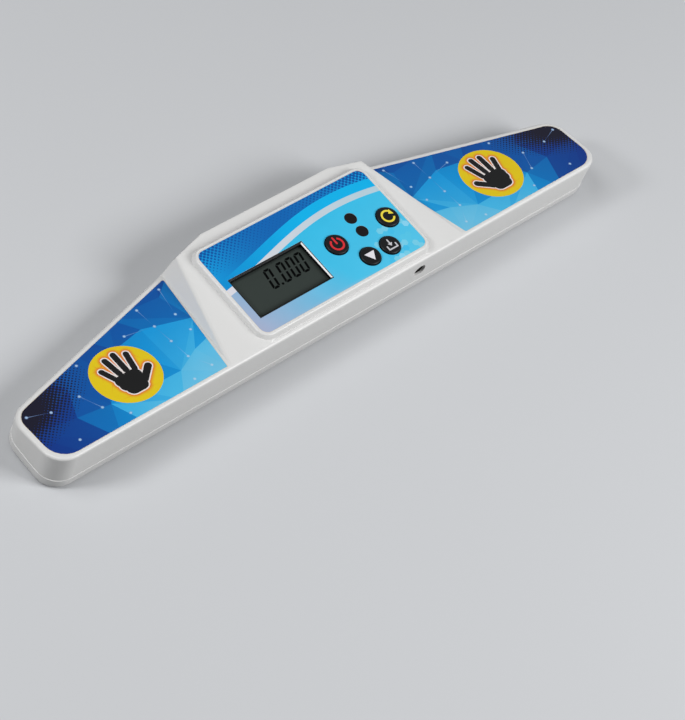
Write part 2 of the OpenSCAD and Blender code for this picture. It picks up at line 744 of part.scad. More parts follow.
// Collapsing web between the mat and the foot of a key
module key_dome(k) color([0.15, 0.15, 0.16]) translate([k[0][0], k[0][1], 0])
    rotate_extrude() {
        r = k[1] / 2;
        polygon([[r + web_run, board_top + 0.2], [r + web_run, mat_top],
            [r - 0.1, key_foot], [r - 0.5, key_foot], [r + web_run - 0.4, board_top + 0.2]]);
    }

module key_pill(k) color([0.05, 0.05, 0.05]) translate([k[0][0], k[0][1], pill_z])
    cylinder(d = pill_d, h = pill_t);

module power_key() key_cap(keys[0]);

module reset_key() key_cap(keys[1]);

module mode_key() key_cap(keys[2]);

module save_key() key_cap(keys[3]);

module power_key_dome() key_dome(keys[0]);

module reset_key_dome() key_dome(keys[1]);

module mode_key_dome() key_dome(keys[2]);

module save_key_dome() key_dome(keys[3]);

module power_key_pill() key_pill(keys[0]);

module reset_key_pill() key_pill(keys[1]);

module mode_key_pill() key_pill(keys[2]);

module save_key_pill() key_pill(keys[3]);

// --- Data jack --------------------------------------------------------------

module along_jack(from) {
    translate([jack_x, from, jack_z]) rotate([-90, 0, 0]) children();
}

module data_jack_body() color([0.06, 0.06, 0.06]) difference() {
    union() {
        translate([jack_x - jack_w / 2, y_front + wall + fit, jack_z - jack_h / 2])
            cube([jack_w, jack_len, jack_h]);
        along_jack(jack_face) cylinder(d = jack_h - fit, h = wall + 1);
    }
    along_jack(jack_face - sleeve_proud) cylinder(d = plug_bore_d, h = plug_depth);
    along_jack(jack_face - sleeve_proud) cylinder(d = sleeve_d, h = sleeve_len);
}

module data_jack_sleeve() color("silver") along_jack(jack_face - sleeve_proud) difference() {
    cylinder(d = sleeve_d, h = sleeve_len);
    translate([0, 0, -1]) cylinder(d = plug_bore_d, h = sleeve_len + 2);
}

module data_jack_pins() color("silver")
    for (p = pin_spots) translate([p[0], p[1], pcb_z]) cylinder(d = 0.9, h = pcb_t);

// --- Batteries --------------------------------------------------------------

// Turned shape of a cell, lying along X with its button to the side given by s
module cell(y, s) {
    r = cell_d / 2;
    body = cell_len - 1;
    translate([s * cell_shift, y, cell_z]) rotate([0, s * 90, 0])
        translate([0, 0, -cell_len / 2]) rotate_extrude()
            polygon([[0, 0], [r - 1.2, 0], [r - 0.4, 0.15], [r, 0.6], [r, body - 0.6],
                [r - 0.4, body - 0.1], [r - 1, body - 0.1], [1.9, body - 0.3],
                [1.9, cell_len], [0, cell_len]]);
}

module battery_cells() color("slategray") {
    cell(cell_rows[0], -1);
    cell(cell_rows[1], 1);
}

// Conical coil between a contact plate and the flat end of a cell
function coil(y, s, turns = 3.5, n = 42) = let (
    x0 = s * (bay_len / 2 - plate_back - spring_wire / 2),
    x1 = s * (cell_len / 2 - cell_shift + spring_wire / 2)
) [for (i = [0 : n]) let (t = i / n, r = cell_d * (0.34 - 0.17 * t), a = 360 * turns * t,
    u = min(1, max(0, (t * turns - 0.5) / (turns - 1))))
    [x0 + (x1 - x0) * u, y + r * cos(a), cell_z + r * sin(a)]];

module battery_springs() color("silver") {
    wire(coil(cell_rows[0], 1), spring_wire, 6);
    wire(coil(cell_rows[1], -1), spring_wire, 6);
}

// A bridge across both cells at the left, two terminals with solder tabs at the right
module battery_plates() color("gainsboro") {
    h = cell_d - 1.6;
    translate([-bay_len / 2, cell_rows[0] - h / 2, cell_z - h / 2])
        cube([plate_back, cell_rows[1] - cell_rows[0] + h, h]);
    for (y = cell_rows) {
        translate([bay_len / 2 - plate_back, y - h / 2, cell_z - h / 2])
            cube([plate_back, h, h]);
        translate([bay_len / 2 - plate_back, y - 1.5, tab_z])
            cube([plate_back + bay_wall + 2, 3, plate_back]);
    }
}

module battery_leads() color("firebrick") for (y = cell_rows) {
    x = bay_len / 2 + bay_wall + 1;
    z = tab_z + plate_back + wire_d / 2;
    wire([[x - 0.5, y, z], [x + 0.8, y, z], [battery_lead_x - 0.3, y, z + 0.4],
        [battery_lead_x, y, z + 1], [battery_lead_x, y, board_top]], wire_d);
}

// --- Touch pads -------------------------------------------------------------

module on_wing(s) {
    y = y_front + pad_y;
    translate([s * pad_x, y, wing_z(y) - roof / cos(wing_slope)])
        rotate([-wing_slope, 0, 0]) children();
}

module touch_plate(s) color("peru") on_wing(s) translate([0, 0, -plate_t - fit])
    cylinder(d = plate_d, h = plate_t);

// Lead that sags from under a touch plate to the end of the board
module pad_lead(s) color("dimgray") {
    y = y_front + pad_y;
    z = wing_z(y) - roof / cos(wing_slope) - plate_t - 2 * fit - wire_d / 2;
    x = pad_lead_end[0];
    edge = pad_x - plate_d / 2;
    sag = [[0.55, 3], [0.3, 4], [0.1, 2.6], [0.02, 0.8]];
    wire(concat([[s * (edge + plate_d / 6), y, z], [s * edge, y, z]],
        [for (p = sag) [s * (x + p[0] * (edge - x)), y, z - p[1]]],
        [[s * x, y, pcb_z - 0.4], [s * x, y, board_top]]), wire_d);
}

module left_touch_plate() touch_plate(-1);

module right_touch_plate() touch_plate(1);

module left_pad_lead() pad_lead(-1);

module right_pad_lead() pad_lead(1);

// --- Fixings ----------------------------------------------------------------

// Screw standing on its head, with a cross recess underneath
module screw(head_d, head_h, shank_d, length) {
    difference() {
        union() {
            cylinder(d = head_d, h = head_h);
            cylinder(d = shank_d, h = head_h + length);
        }
        for (a = [0, 90]) rotate(a) translate([-head_d / 4, -0.3, -1])
            cube([head_d / 2, 0.6, 1 + head_h / 2]);
    }
}

module case_screws() color("silver") {
    head_z = base_z + screw_sunk;
    for (p = case_screw_spots) translate([p[0], p[1], head_z])
        screw(screw_head_d, screw_head_h, screw_d,
            parting_z + screw_bite - head_z - screw_head_h);
}

module pcb_screws() color("silver")
    for (p = board_screw_spots) translate([p[0], p[1], pcb_z - 1])
        screw(pcb_head_d, 1, pcb_screw_d, pcb_t + pcb_bite);

module rubber_feet() color([0.2, 0.2, 0.2])
    for (p = foot_at) translate([p[0], p[1], 0]) rotate_extrude()
        polygon([[0, 0], [foot_d / 2 - 0.4, 0], [foot_d / 2 - fit, 0.3],
            [foot_d / 2 - fit, foot_t], [0, foot_t]]);

top_shell();
bottom_shell();
battery_door();
left_pad_film();
right_pad_film();
panel_film();
display_frame();
lcd_glass();
lcd_zebra_strips();
main_pcb();
controller_blob();
crystal_can();
capacitors();
far_status_led();
near_status_led();
far_status_lens();
near_status_lens();
keypad_mat();
power_key();
mode_key();
save_key();
reset_key();
power_key_dome();
mode_key_dome();
save_key_dome();
reset_key_dome();
power_key_pill();
mode_key_pill();
save_key_pill();
reset_key_pill();
data_jack_body();
data_jack_sleeve();
data_jack_pins();
battery_springs();
battery_plates();
battery_cells();
battery_leads();
left_touch_plate();
right_touch_plate();
left_pad_lead();
right_pad_lead();
case_screws();
pcb_screws();
rubber_feet();
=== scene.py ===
"""Looks of the hand-pad timer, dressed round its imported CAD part.

The case keeps the CAD's shape with softened edges. The printed films, the display's
digits and the signs on the keys are thin layers of ink laid on the CAD's own faces.
Lengths are in millimetres, unless a name or a comment says metres.
"""

from __future__ import annotations

import logging
import math
import random
import sys
from dataclasses import dataclass, field, replace
from enum import Enum
from typing import Callable, Sequence

import bmesh
import bpy
from mathutils import Euler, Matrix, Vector
from mathutils.geometry import delaunay_2d_cdt


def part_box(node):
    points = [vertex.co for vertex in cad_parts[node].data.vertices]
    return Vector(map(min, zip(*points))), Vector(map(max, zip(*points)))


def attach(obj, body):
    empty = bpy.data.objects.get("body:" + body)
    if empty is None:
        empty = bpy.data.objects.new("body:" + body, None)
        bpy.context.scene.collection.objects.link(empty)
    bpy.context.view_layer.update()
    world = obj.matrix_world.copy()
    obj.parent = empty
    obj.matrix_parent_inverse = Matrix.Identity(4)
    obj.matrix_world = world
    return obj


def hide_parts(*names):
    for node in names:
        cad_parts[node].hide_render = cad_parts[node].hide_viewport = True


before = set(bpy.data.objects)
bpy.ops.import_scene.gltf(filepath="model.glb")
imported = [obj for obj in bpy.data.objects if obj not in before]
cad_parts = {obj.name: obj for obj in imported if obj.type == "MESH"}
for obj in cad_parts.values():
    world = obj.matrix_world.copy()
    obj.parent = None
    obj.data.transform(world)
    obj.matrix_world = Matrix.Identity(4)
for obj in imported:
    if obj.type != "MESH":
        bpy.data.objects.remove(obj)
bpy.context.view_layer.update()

LOG = logging.getLogger("hand_pad_timer")
MM = 0.001

WELD_MM = 0.002
NEAR_MM = 0.01
FLAT_DEG = 0.4
SMOOTH_DEG = 38.0
UPWARD_Z = 0.9
INK_STEP_MM = 0.012
CDT_GAP_MM = 1e-4
CDT_INSIDE_ONLY = 1
DOT_CORNERS = 10

# The sRGB curve: a straight foot up to its knee, and a power above it.
SRGB_KNEE, SRGB_FOOT, SRGB_SHIFT, SRGB_POWER = 0.04045, 12.92, 0.055, 2.4

Point = tuple[float, float]
Colour = tuple[float, float, float]
Bar = tuple[Point, Point, float]
Height = Callable[[float, float], float]
Tree = bpy.types.NodeTree
Socket = bpy.types.NodeSocket
Piece = bpy.types.Object
Tint = Colour | Callable[[Point], Colour]


# --- Colour and nodes ---


def linear(code: str) -> Colour:
    """Turns an sRGB hex colour to linear light.

    Args:
        code: Colour as #RRGGBB.

    Returns:
        The linear red, green and blue.
    """
    return tuple(
        share / SRGB_FOOT
        if share <= SRGB_KNEE
        else ((share + SRGB_SHIFT) / (1 + SRGB_SHIFT)) ** SRGB_POWER
        for share in (byte / 255 for byte in bytes.fromhex(code[1:]))
    )


def mix(a: Colour, b: Colour, share: float) -> Colour:
    """Returns the colour that lies the given share of the way from a to b."""
    share = min(1.0, max(0.0, share))
    return tuple(p + (q - p) * share for p, q in zip(a, b))


def ramp(stops: Sequence[tuple[float, str]], place: float) -> Colour:
    """Reads a colour ramp.

    Args:
        stops: Places in rising order, each with its sRGB hex colour.
        place: Where to read the ramp.

    Returns:
        The linear colour there.
    """
    low = stops[0]
    for high in stops[1:]:
        if place <= high[0]:
            share = (place - low[0]) / (high[0] - low[0])
            return mix(linear(low[1]), linear(high[1]), share)
        low = high
    return linear(low[1])


def add_node(
    tree: Tree,
    kind: str,
    inputs: dict[str | int, object] | None = None,
    **settings: object,
) -> bpy.types.Node:
    """Adds a shader node with its settings, values and links.

    Args:
        tree: Node tree that takes the node.
        kind: Blender's name for the node type, after "ShaderNode".
        inputs: Value or output socket for each input, by the input's name or number.
        settings: The node's own properties.

    Returns:
        The new node.
    """
    node = tree.nodes.new(f"ShaderNode{kind}")
    for name, value in settings.items():
        setattr(node, name, value)
    for name, value in (inputs or {}).items():
        if isinstance(value, Socket):
            tree.links.new(value, node.inputs[name])
        else:
            node.inputs[name].default_value = value
    return node


# --- Finishes ---


@dataclass(frozen=True)
class Grain:
    """The fine relief that a mould or a press leaves."""

    width_mm: float
    depth_mm: float


@dataclass(frozen=True)
class Cloud:
    """Soft blots that swing the roughness and the tone a little to both sides."""

    width_mm: float
    rough: float = 0.0
    tone: float = 0.0


@dataclass(frozen=True)
class Finish:
    """A real material, how its surface was made, and the record's slot for it."""

    GRAIN_OCTAVES = 2.0
    CLOUD_OCTAVES = 3.0
    # Nearly all of the noise lies between these values.
    NOISE_SPAN = (0.3, 0.7)

    name: str
    slot: str
    colour: str
    roughness: float
    ior: float = 1.5
    metallic: float = 0.0
    grain: Grain | None = None
    cloud: Cloud | None = None

    def material(self) -> bpy.types.Material:
        """Makes this finish's material at its first use.

        Returns:
            The material.
        """
        made = bpy.data.materials.get(self.name)
        if made is not None:
            return made
        made = bpy.data.materials.new(self.name)
        made.use_nodes = True
        tree = made.node_tree
        shader = tree.nodes["Principled BSDF"]
        values = {
            "Base Color": (*linear(self.colour), 1.0),
            "Roughness": self.roughness,
            "IOR": self.ior,
            "Metallic": self.metallic,
        }
        for name, value in values.items():
            shader.inputs[name].default_value = value
        if self.grain:
            self._add_grain(tree, shader.inputs)
        if self.cloud:
            self._add_cloud(tree, shader.inputs)
        made.diffuse_color = (*linear(self.colour), 1.0)
        return made

    def colour_source(self, tree: Tree) -> Socket:
        """Adds the source of the surface's colour before any clouding.

        Args:
            tree: The material's node tree.

        Returns:
            The socket that gives the colour.
        """
        colour = add_node(tree, "RGB")
        colour.outputs["Color"].default_value = (*linear(self.colour), 1.0)
        return colour.outputs["Color"]

    def _noise(self, tree: Tree, width_mm: float, octaves: float) -> Socket:
        """Adds noise in the piece's own coordinates.

        Args:
            tree: The material's node tree.
            width_mm: Width of its blots.
            octaves: Number of finer layers.

        Returns:
            The noise's value.
        """
        place = add_node(tree, "TexCoord")
        inputs = {
            "Vector": place.outputs["Object"],
            "Scale": 1 / (width_mm * MM),
            "Detail": octaves,
        }
        return add_node(tree, "TexNoise", inputs).outputs["Fac"]

    def _add_grain(self, tree: Tree, surface: bpy.types.NodeInputs) -> None:
        """Gives the surface its grain.

        Args:
            tree: The material's node tree.
            surface: Inputs of its Principled shader.
        """
        inputs = {
            "Height": self._noise(tree, self.grain.width_mm, self.GRAIN_OCTAVES),
            "Distance": self.grain.depth_mm * MM,
            "Strength": 1.0,
        }
        bump = add_node(tree, "Bump", inputs)
        tree.links.new(bump.outputs["Normal"], surface["Normal"])

    def _add_cloud(self, tree: Tree, surface: bpy.types.NodeInputs) -> None:
        """Clouds the surface's gloss and tone.

        Args:
            tree: The material's node tree.
            surface: Inputs of its Principled shader.
        """
        blots = self._noise(tree, self.cloud.width_mm, self.CLOUD_OCTAVES)

        def swung(centre: float, swing: float) -> Socket:
            """Returns a value that swings with the blots round its centre."""
            inputs = {
                "Value": blots,
                "From Min": self.NOISE_SPAN[0],
                "From Max": self.NOISE_SPAN[1],
                "To Min": centre - swing,
                "To Max": centre + swing,
            }
            return add_node(tree, "MapRange", inputs).outputs["Result"]

        rough = swung(self.roughness, self.cloud.rough)
        tree.links.new(rough, surface["Roughness"])
        inputs = {
            "Vector": self.colour_source(tree),
            "Scale": swung(1.0, self.cloud.tone),
        }
        toned = add_node(tree, "VectorMath", inputs, operation="SCALE")
        tree.links.new(toned.outputs["Vector"], surface["Base Color"])


@dataclass(frozen=True)
class PrintedFinish(Finish):
    """A finish whose colour is printed: each face of the ink carries its own."""

    def colour_source(self, tree: Tree) -> Socket:
        """Returns the colour that the ink carries in its own attribute."""
        ink = add_node(tree, "Attribute", attribute_name=InkSheet.ATTRIBUTE)
        return ink.outputs["Color"]


# fmt: off
# White ABS from a spark-eroded mould: a fine matt grain that breaks up the highlights.
MOULDED_ABS = Finish(
    "moulded_white_abs", "case_plastic", "#DEDEDD", 0.36,
    grain=Grain(0.35, 0.005), cloud=Cloud(26, 0.04, 0.008),
)
# Backing of the pads' polyester film: its cut edge shows as a thin cream line.
FILM_BACKING = Finish(
    "polyester_film_edge", "pad_print", "#E9DFCF", 0.5, cloud=Cloud(4, 0.08),
)
# Backing of the console's film: the same cream line round the panel and its holes.
PANEL_BACKING = replace(FILM_BACKING, name="polyester_panel_edge", slot="panel_print")
# Ink under a satin hard coat on polyester: full colour under a faint wide sheen, with
# the shallow ripple of a film rubbed down on a moulding.
PAD_INK = PrintedFinish(
    "screen_print_pads", "pad_print", "#2068B4", 0.45, ior=1.3,
    grain=Grain(1.6, 0.004), cloud=Cloud(9, 0.05, 0.02),
)
# The console's ink: the same sheen, too faint to whiten its pale blues.
PANEL_INK = replace(
    PAD_INK, name="screen_print_panel", slot="panel_print", colour="#3AA0DC",
)
# Black ABS of the display surround: polished mould, so its chamfer throws a silver
# line where it faces a lamp and stays black everywhere else.
POLISHED_BLACK_ABS = Finish(
    "polished_black_abs", "black_plastic", "#08080A", 0.12, ior=1.46,
    cloud=Cloud(6, 0.02, 0.05),
)
# Black plastic of the jack: matt, so that its mouth reads as a dark hole.
BLACK_NYLON = Finish(
    "black_nylon", "black_plastic", "#141415", 0.6,
    grain=Grain(0.3, 0.008), cloud=Cloud(2, 0.06),
)
# Sleeve of the jack: steel under black nickel, kept near black as painted shade, which
# stands in for the shade and the dark reflections inside the jack's mouth; it shines
# without any brightness.
BLACK_NICKEL_PAINTED_SHADE = Finish(
    "black_nickel_painted_shade", "plated_metal", "#2E2D2C", 0.35, metallic=1.0,
    cloud=Cloud(1.5, 0.07, 0.05),
)
# Anti-glare display glass over a grey-green reflector: flat, dark and nearly matt.
DISPLAY_GLASS = Finish(
    "display_glass", "lcd_face", "#343B38", 0.55, ior=1.2, cloud=Cloud(12, 0.03, 0.02),
)
# Switched-on liquid crystal: as matt as the glass, and black.
DISPLAY_SEGMENTS = PrintedFinish(
    "display_segments", "lcd_face", "#020303", 0.7, ior=1.1, cloud=Cloud(3, 0.02),
)
# Silicone of the key mat and the display's contact strips: dull, with a dusty grain.
DARK_SILICONE = Finish(
    "dark_silicone", "dark_silicone", "#2A2A2C", 0.7,
    grain=Grain(0.5, 0.01), cloud=Cloud(8, 0.06, 0.06),
)
# Black silicone keys with a rubbed-on satin coat: soft grey highlights on the crown.
KEY_RUBBER = Finish(
    "satin_key_rubber", "key_rubber", "#0A0A0C", 0.42, ior=1.3,
    grain=Grain(0.3, 0.006), cloud=Cloud(3, 0.07, 0.08),
)
# Signs printed on the keys: a thicker, matt ink that sits on the rubber.
KEY_INK = PrintedFinish(
    "key_sign_ink", "key_rubber", "#D0D0D0", 0.55,
    grain=Grain(0.25, 0.006), cloud=Cloud(1.2, 0.06, 0.04),
)
# Smoked polycarbonate lens: nearly black, with a breath of red painted in as the glow
# of the lamp inside.
SMOKED_LENS = Finish(
    "smoked_polycarbonate", "smoked_lens", "#0E0809", 0.35, ior=1.27,
    cloud=Cloud(2, 0.05, 0.1),
)
# Epoxy solder mask over copper: glossy green, clouded by the tracks beneath.
SOLDER_MASK = Finish(
    "green_solder_mask", "circuit_board", "#1E5A33", 0.38, cloud=Cloud(5, 0.08, 0.14),
)
# Resin drop over the chip: glossy black, with the slow waves of a liquid that set.
POTTING_RESIN = Finish(
    "black_potting_resin", "black_resin", "#101010", 0.28,
    grain=Grain(2.5, 0.03), cloud=Cloud(3, 0.08, 0.1),
)
# Nickel plate: bright, with the faint drag marks of forming.
NICKEL = Finish(
    "nickel_plated_steel", "plated_metal", "#C9C7C2", 0.24, metallic=1.0,
    cloud=Cloud(1.5, 0.07, 0.05),
)
# Fired ceramic of the capacitors: dry and sandy beside the board's gloss.
CERAMIC = Finish(
    "ceramic_chip", "ceramic_chip", "#B49A78", 0.6,
    grain=Grain(0.2, 0.01), cloud=Cloud(1, 0.05, 0.1),
)
# Milky case of a status lamp: warm white, and the one pale thing under its lens.
LED_CASE = Finish("white_led_case", "led_body", "#EDE6D8", 0.5, cloud=Cloud(1, 0.06))
# Rubber filled with carbon, of the contact pills: a dry black with no highlight.
CARBON_RUBBER = Finish(
    "carbon_rubber", "carbon_rubber", "#141414", 0.8,
    grain=Grain(0.2, 0.01), cloud=Cloud(1.5, tone=0.15),
)
# Shrunk printed sleeve of a plain cell: glossy, with one broad highlight.
CELL_WRAP = Finish(
    "shrunk_cell_sleeve", "cell_wrap", "#5A6470", 0.3,
    grain=Grain(6, 0.03), cloud=Cloud(5, 0.08, 0.05),
)
# PVC sleeve of the battery's leads: a soft highlight that runs along the wire.
RED_WIRE = Finish(
    "red_pvc_wire", "red_wire", "#B0201C", 0.45, cloud=Cloud(2, 0.08, 0.06),
)
# PVC sleeve of the touch plates' leads: the same highlight on a quiet grey.
GREY_WIRE = replace(RED_WIRE, name="grey_pvc_wire", slot="grey_wire", colour="#77797C")
# Copper of the touch plates: warm metal, clouded where its tin is thin.
COPPER = Finish(
    "tinned_copper", "copper_plate", "#C98A63", 0.35, metallic=1.0,
    cloud=Cloud(4, 0.1, 0.12),
)
# Moulded rubber feet: matt and dark, so they sit as soft spots under the case.
FOOT_RUBBER = Finish(
    "matt_foot_rubber", "foot_rubber", "#2B2B2D", 0.85,
    grain=Grain(0.4, 0.02), cloud=Cloud(3, tone=0.12),
)
# Seamless paper under the part: matt, with no marks of its own.
PAPER = Finish("pale_paper_floor", "", "#C9CBCE", 0.95, cloud=Cloud(400, tone=0.01))
# fmt: on


# --- Meshes ---


def add_object(name: str, data: bpy.types.ID) -> Piece:
    """Adds an object to the scene.

    Args:
        name: Its name.
        data: Mesh, light or camera that it shows.

    Returns:
        The new object.
    """
    made = bpy.data.objects.new(name, data)
    bpy.context.scene.collection.objects.link(made)
    return made


def welded(node: str) -> bmesh.types.BMesh:
    """Reads a CAD node's mesh with its doubled corners joined and its flats merged.

    Args:
        node: Name of the CAD node.

    Returns:
        A new mesh, which the caller frees.
    """
    mesh = bmesh.new()
    mesh.from_mesh(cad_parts[node].data)
    bmesh.ops.remove_doubles(mesh, verts=mesh.verts, dist=WELD_MM * MM)
    bmesh.ops.dissolve_limit(
        mesh, angle_limit=math.radians(FLAT_DEG), verts=mesh.verts, edges=mesh.edges
    )
    return mesh


def top_loops(node: str) -> list[list[Vector]]:
    """Finds the edges of a node's top face.

    Args:
        node: Name of the CAD node.

    Returns:
        Its loops in millimetres, the longest first; the outer one runs anticlockwise.
    """
    mesh = welded(node)
    upward = {f for f in mesh.faces if f.normal.z > UPWARD_Z}
    follows = {}
    for face in upward:
        for loop in face.loops:
            if sum(f in upward for f in loop.edge.link_faces) == 1:
                follows[loop.vert] = loop.link_loop_next.vert
    loops = []
    while follows:
        start, vert = next(iter(follows.items()))
        ring = [start]
        del follows[start]
        while vert is not start:
            ring.append(vert)
            vert = follows.pop(vert)
        loops.append([v.co / MM for v in ring])
    mesh.free()
    return sorted(loops, key=len, reverse=True)


def middle(node: str) -> Vector:
    """Returns the middle of a CAD node's box, in millimetres."""
    low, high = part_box(node)
    return (low + high) / 2 / MM


def top_of(node: str) -> float:
    """Returns the height of a CAD node's top, in millimetres."""
    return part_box(node)[1].z / MM


def dress(
    node: str,
    body: str,
    finish: Finish,
    edge_mm: float = 0.0,
    smooth_deg: float = SMOOTH_DEG,
    where: Callable[[Vector], bool] = lambda place: True,
    steps: int = 2,
    lift_mm: float = 0.0,
) -> Piece:
    """Makes a soft-edged piece that stands for a CAD node.

    Args:
        node: Name of the CAD node, which the piece replaces.
        body: CAD body that it rides on.
        finish: Its finish.
        edge_mm: Width of the rounding on its sharp edges, or 0 for none.
        smooth_deg: Faces that meet at less than this angle shade as one.
        where: Tells for a place in millimetres whether a sharp edge there is rounded.
        steps: Number of flats in the rounding; 1 makes a chamfer.
        lift_mm: How far the node's topmost face moves up first.

    Returns:
        The new piece.
    """
    source = welded(node)
    top = max(v.co.z for v in source.verts) - WELD_MM * MM
    for vert in source.verts:
        if vert.co.z > top:
            vert.co.z += lift_mm * MM
    if edge_mm:
        sharp = [
            e
            for e in source.edges
            if len(e.link_faces) == 2
            and e.calc_face_angle(0) > math.radians(smooth_deg)
            and all(where(v.co / MM) for v in e.verts)
        ]
        bmesh.ops.bevel(
            source, geom=sharp, offset=edge_mm * MM, segments=steps, profile=0.5,
            affect="EDGES", clamp_overlap=True,
        )  # fmt: skip
    source.verts.ensure_lookup_table()
    source.verts.index_update()
    mesh = bpy.data.meshes.new(f"{node}_moulding")
    mesh.from_pydata(
        [v.co for v in source.verts],
        [],
        [[v.index for v in f.verts] for f in source.faces],
    )
    source.free()
    mesh.shade_smooth()
    mesh.set_sharp_from_angle(angle=math.radians(smooth_deg))
    mesh.materials.append(finish.material())
    piece = add_object(mesh.name, mesh)
    flats = piece.modifiers.new("flat_faces_stay_flat", "WEIGHTED_NORMAL")
    flats.mode, flats.weight, flats.keep_sharp = "FACE_AREA", 100, True
    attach(piece, body)
    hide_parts(node)
    return piece


def finish_nodes(finish: Finish, *nodes: str) -> None:
    """Gives CAD nodes that keep their own meshes a finish.

    Args:
        finish: The finish.
        nodes: Names of the CAD nodes.
    """
    for node in nodes:
        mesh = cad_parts[node].data
        mesh.materials.clear()
        mesh.materials.append(finish.material())


# --- Plane figures ---


def arc(centre: Point, radius: float, start: float, end: float, n: int) -> list[Point]:
    """Returns n + 1 points on an arc, from the start angle to the end, in degrees."""
    turns = (math.radians(start + (end - start) * i / n) for i in range(n + 1))
    return [
        (centre[0] + radius * math.cos(t), centre[1] + radius * math.sin(t))
        for t in turns
    ]


def disc(centre: Point, radius: float, n: int = 24) -> list[Point]:
    """Returns the outline of a disc of n points."""
    return arc(centre, radius, 0, 360 - 360 / n, n - 1)


def band(
    centre: Point, inner: float, outer: float, start: float, end: float, n: int = 28
) -> list[Point]:
    """Returns the outline of a part of a ring between two angles, in degrees."""
    return arc(centre, outer, start, end, n) + arc(centre, inner, end, start, n)


def capsule(a: Point, b: Point, radius: float, n: int = 10) -> list[Point]:
    """Returns the outline of a bar with round ends between two points."""
    heading = math.degrees(math.atan2(b[1] - a[1], b[0] - a[0]))
    far_end = arc(b, radius, heading - 90, heading + 90, n)
    return far_end + arc(a, radius, heading + 90, heading + 270, n)


def moved(figure: Sequence[Point], by: Point) -> list[Point]:
    """Returns a figure moved by the given step."""
    return [(x + by[0], y + by[1]) for x, y in figure]


def centre_of(figure: Sequence[Point]) -> Point:
    """Returns the mean of a figure's corners."""
    xs, ys = zip(*figure)
    return sum(xs) / len(figure), sum(ys) / len(figure)


def area(outline: Sequence[Point]) -> float:
    """Returns an outline's area, which is negative where it runs clockwise."""
    following = [*outline[1:], outline[0]]
    return sum(p[0] * q[1] - q[0] * p[1] for p, q in zip(outline, following)) / 2


def inset(outline: Sequence[Point], gap: float) -> list[Point]:
    """Moves an anticlockwise outline in by a gap.

    Args:
        outline: The outline.
        gap: How far each side moves in; a sharp corner moves at most twice as far.

    Returns:
        The smaller outline.
    """
    smaller = []
    for i, here in enumerate(outline):
        before, after = outline[i - 1], outline[(i + 1) % len(outline)]
        u = Vector((here[0] - before[0], here[1] - before[1])).normalized()
        v = Vector((after[0] - here[0], after[1] - here[1])).normalized()
        inward = Vector((-u.y - v.y, u.x + v.x)).normalized()
        reach = gap / max(0.5, inward.dot(Vector((-u.y, u.x))))
        smaller.append((here[0] + inward.x * reach, here[1] + inward.y * reach))
    return smaller


def far_from(p: Point, outline: Sequence[Point]) -> float:
    """Measures how far a point is from an outline.

    Args:
        p: The point.
        outline: The outline, or the two ends of a line.

    Returns:
        The distance to its nearest side.
    """
    nearest = math.inf
    for i, a in enumerate(outline):
        b = outline[(i + 1) % len(outline)]
        run = math.dist(a, b) ** 2 or sys.float_info.min
        t = ((p[0] - a[0]) * (b[0] - a[0]) + (p[1] - a[1]) * (b[1] - a[1])) / run
        t = min(1.0, max(0.0, t))
        spot = (a[0] + (b[0] - a[0]) * t, a[1] + (b[1] - a[1]) * t)
        nearest = min(nearest, math.dist(p, spot))
    return nearest


def holds(outline: Sequence[Point], p: Point) -> bool:
    """Tells whether a point lies inside an outline.

    Args:
        outline: The outline.
        p: The point.

    Returns:
        True inside it.
    """
    inside = False
    for i, a in enumerate(outline):
        b = outline[(i + 1) % len(outline)]
        if (a[1] > p[1]) != (b[1] > p[1]):
            crossing = a[0] + (b[0] - a[0]) * (p[1] - a[1]) / (b[1] - a[1])
            inside ^= p[0] < crossing
    return inside


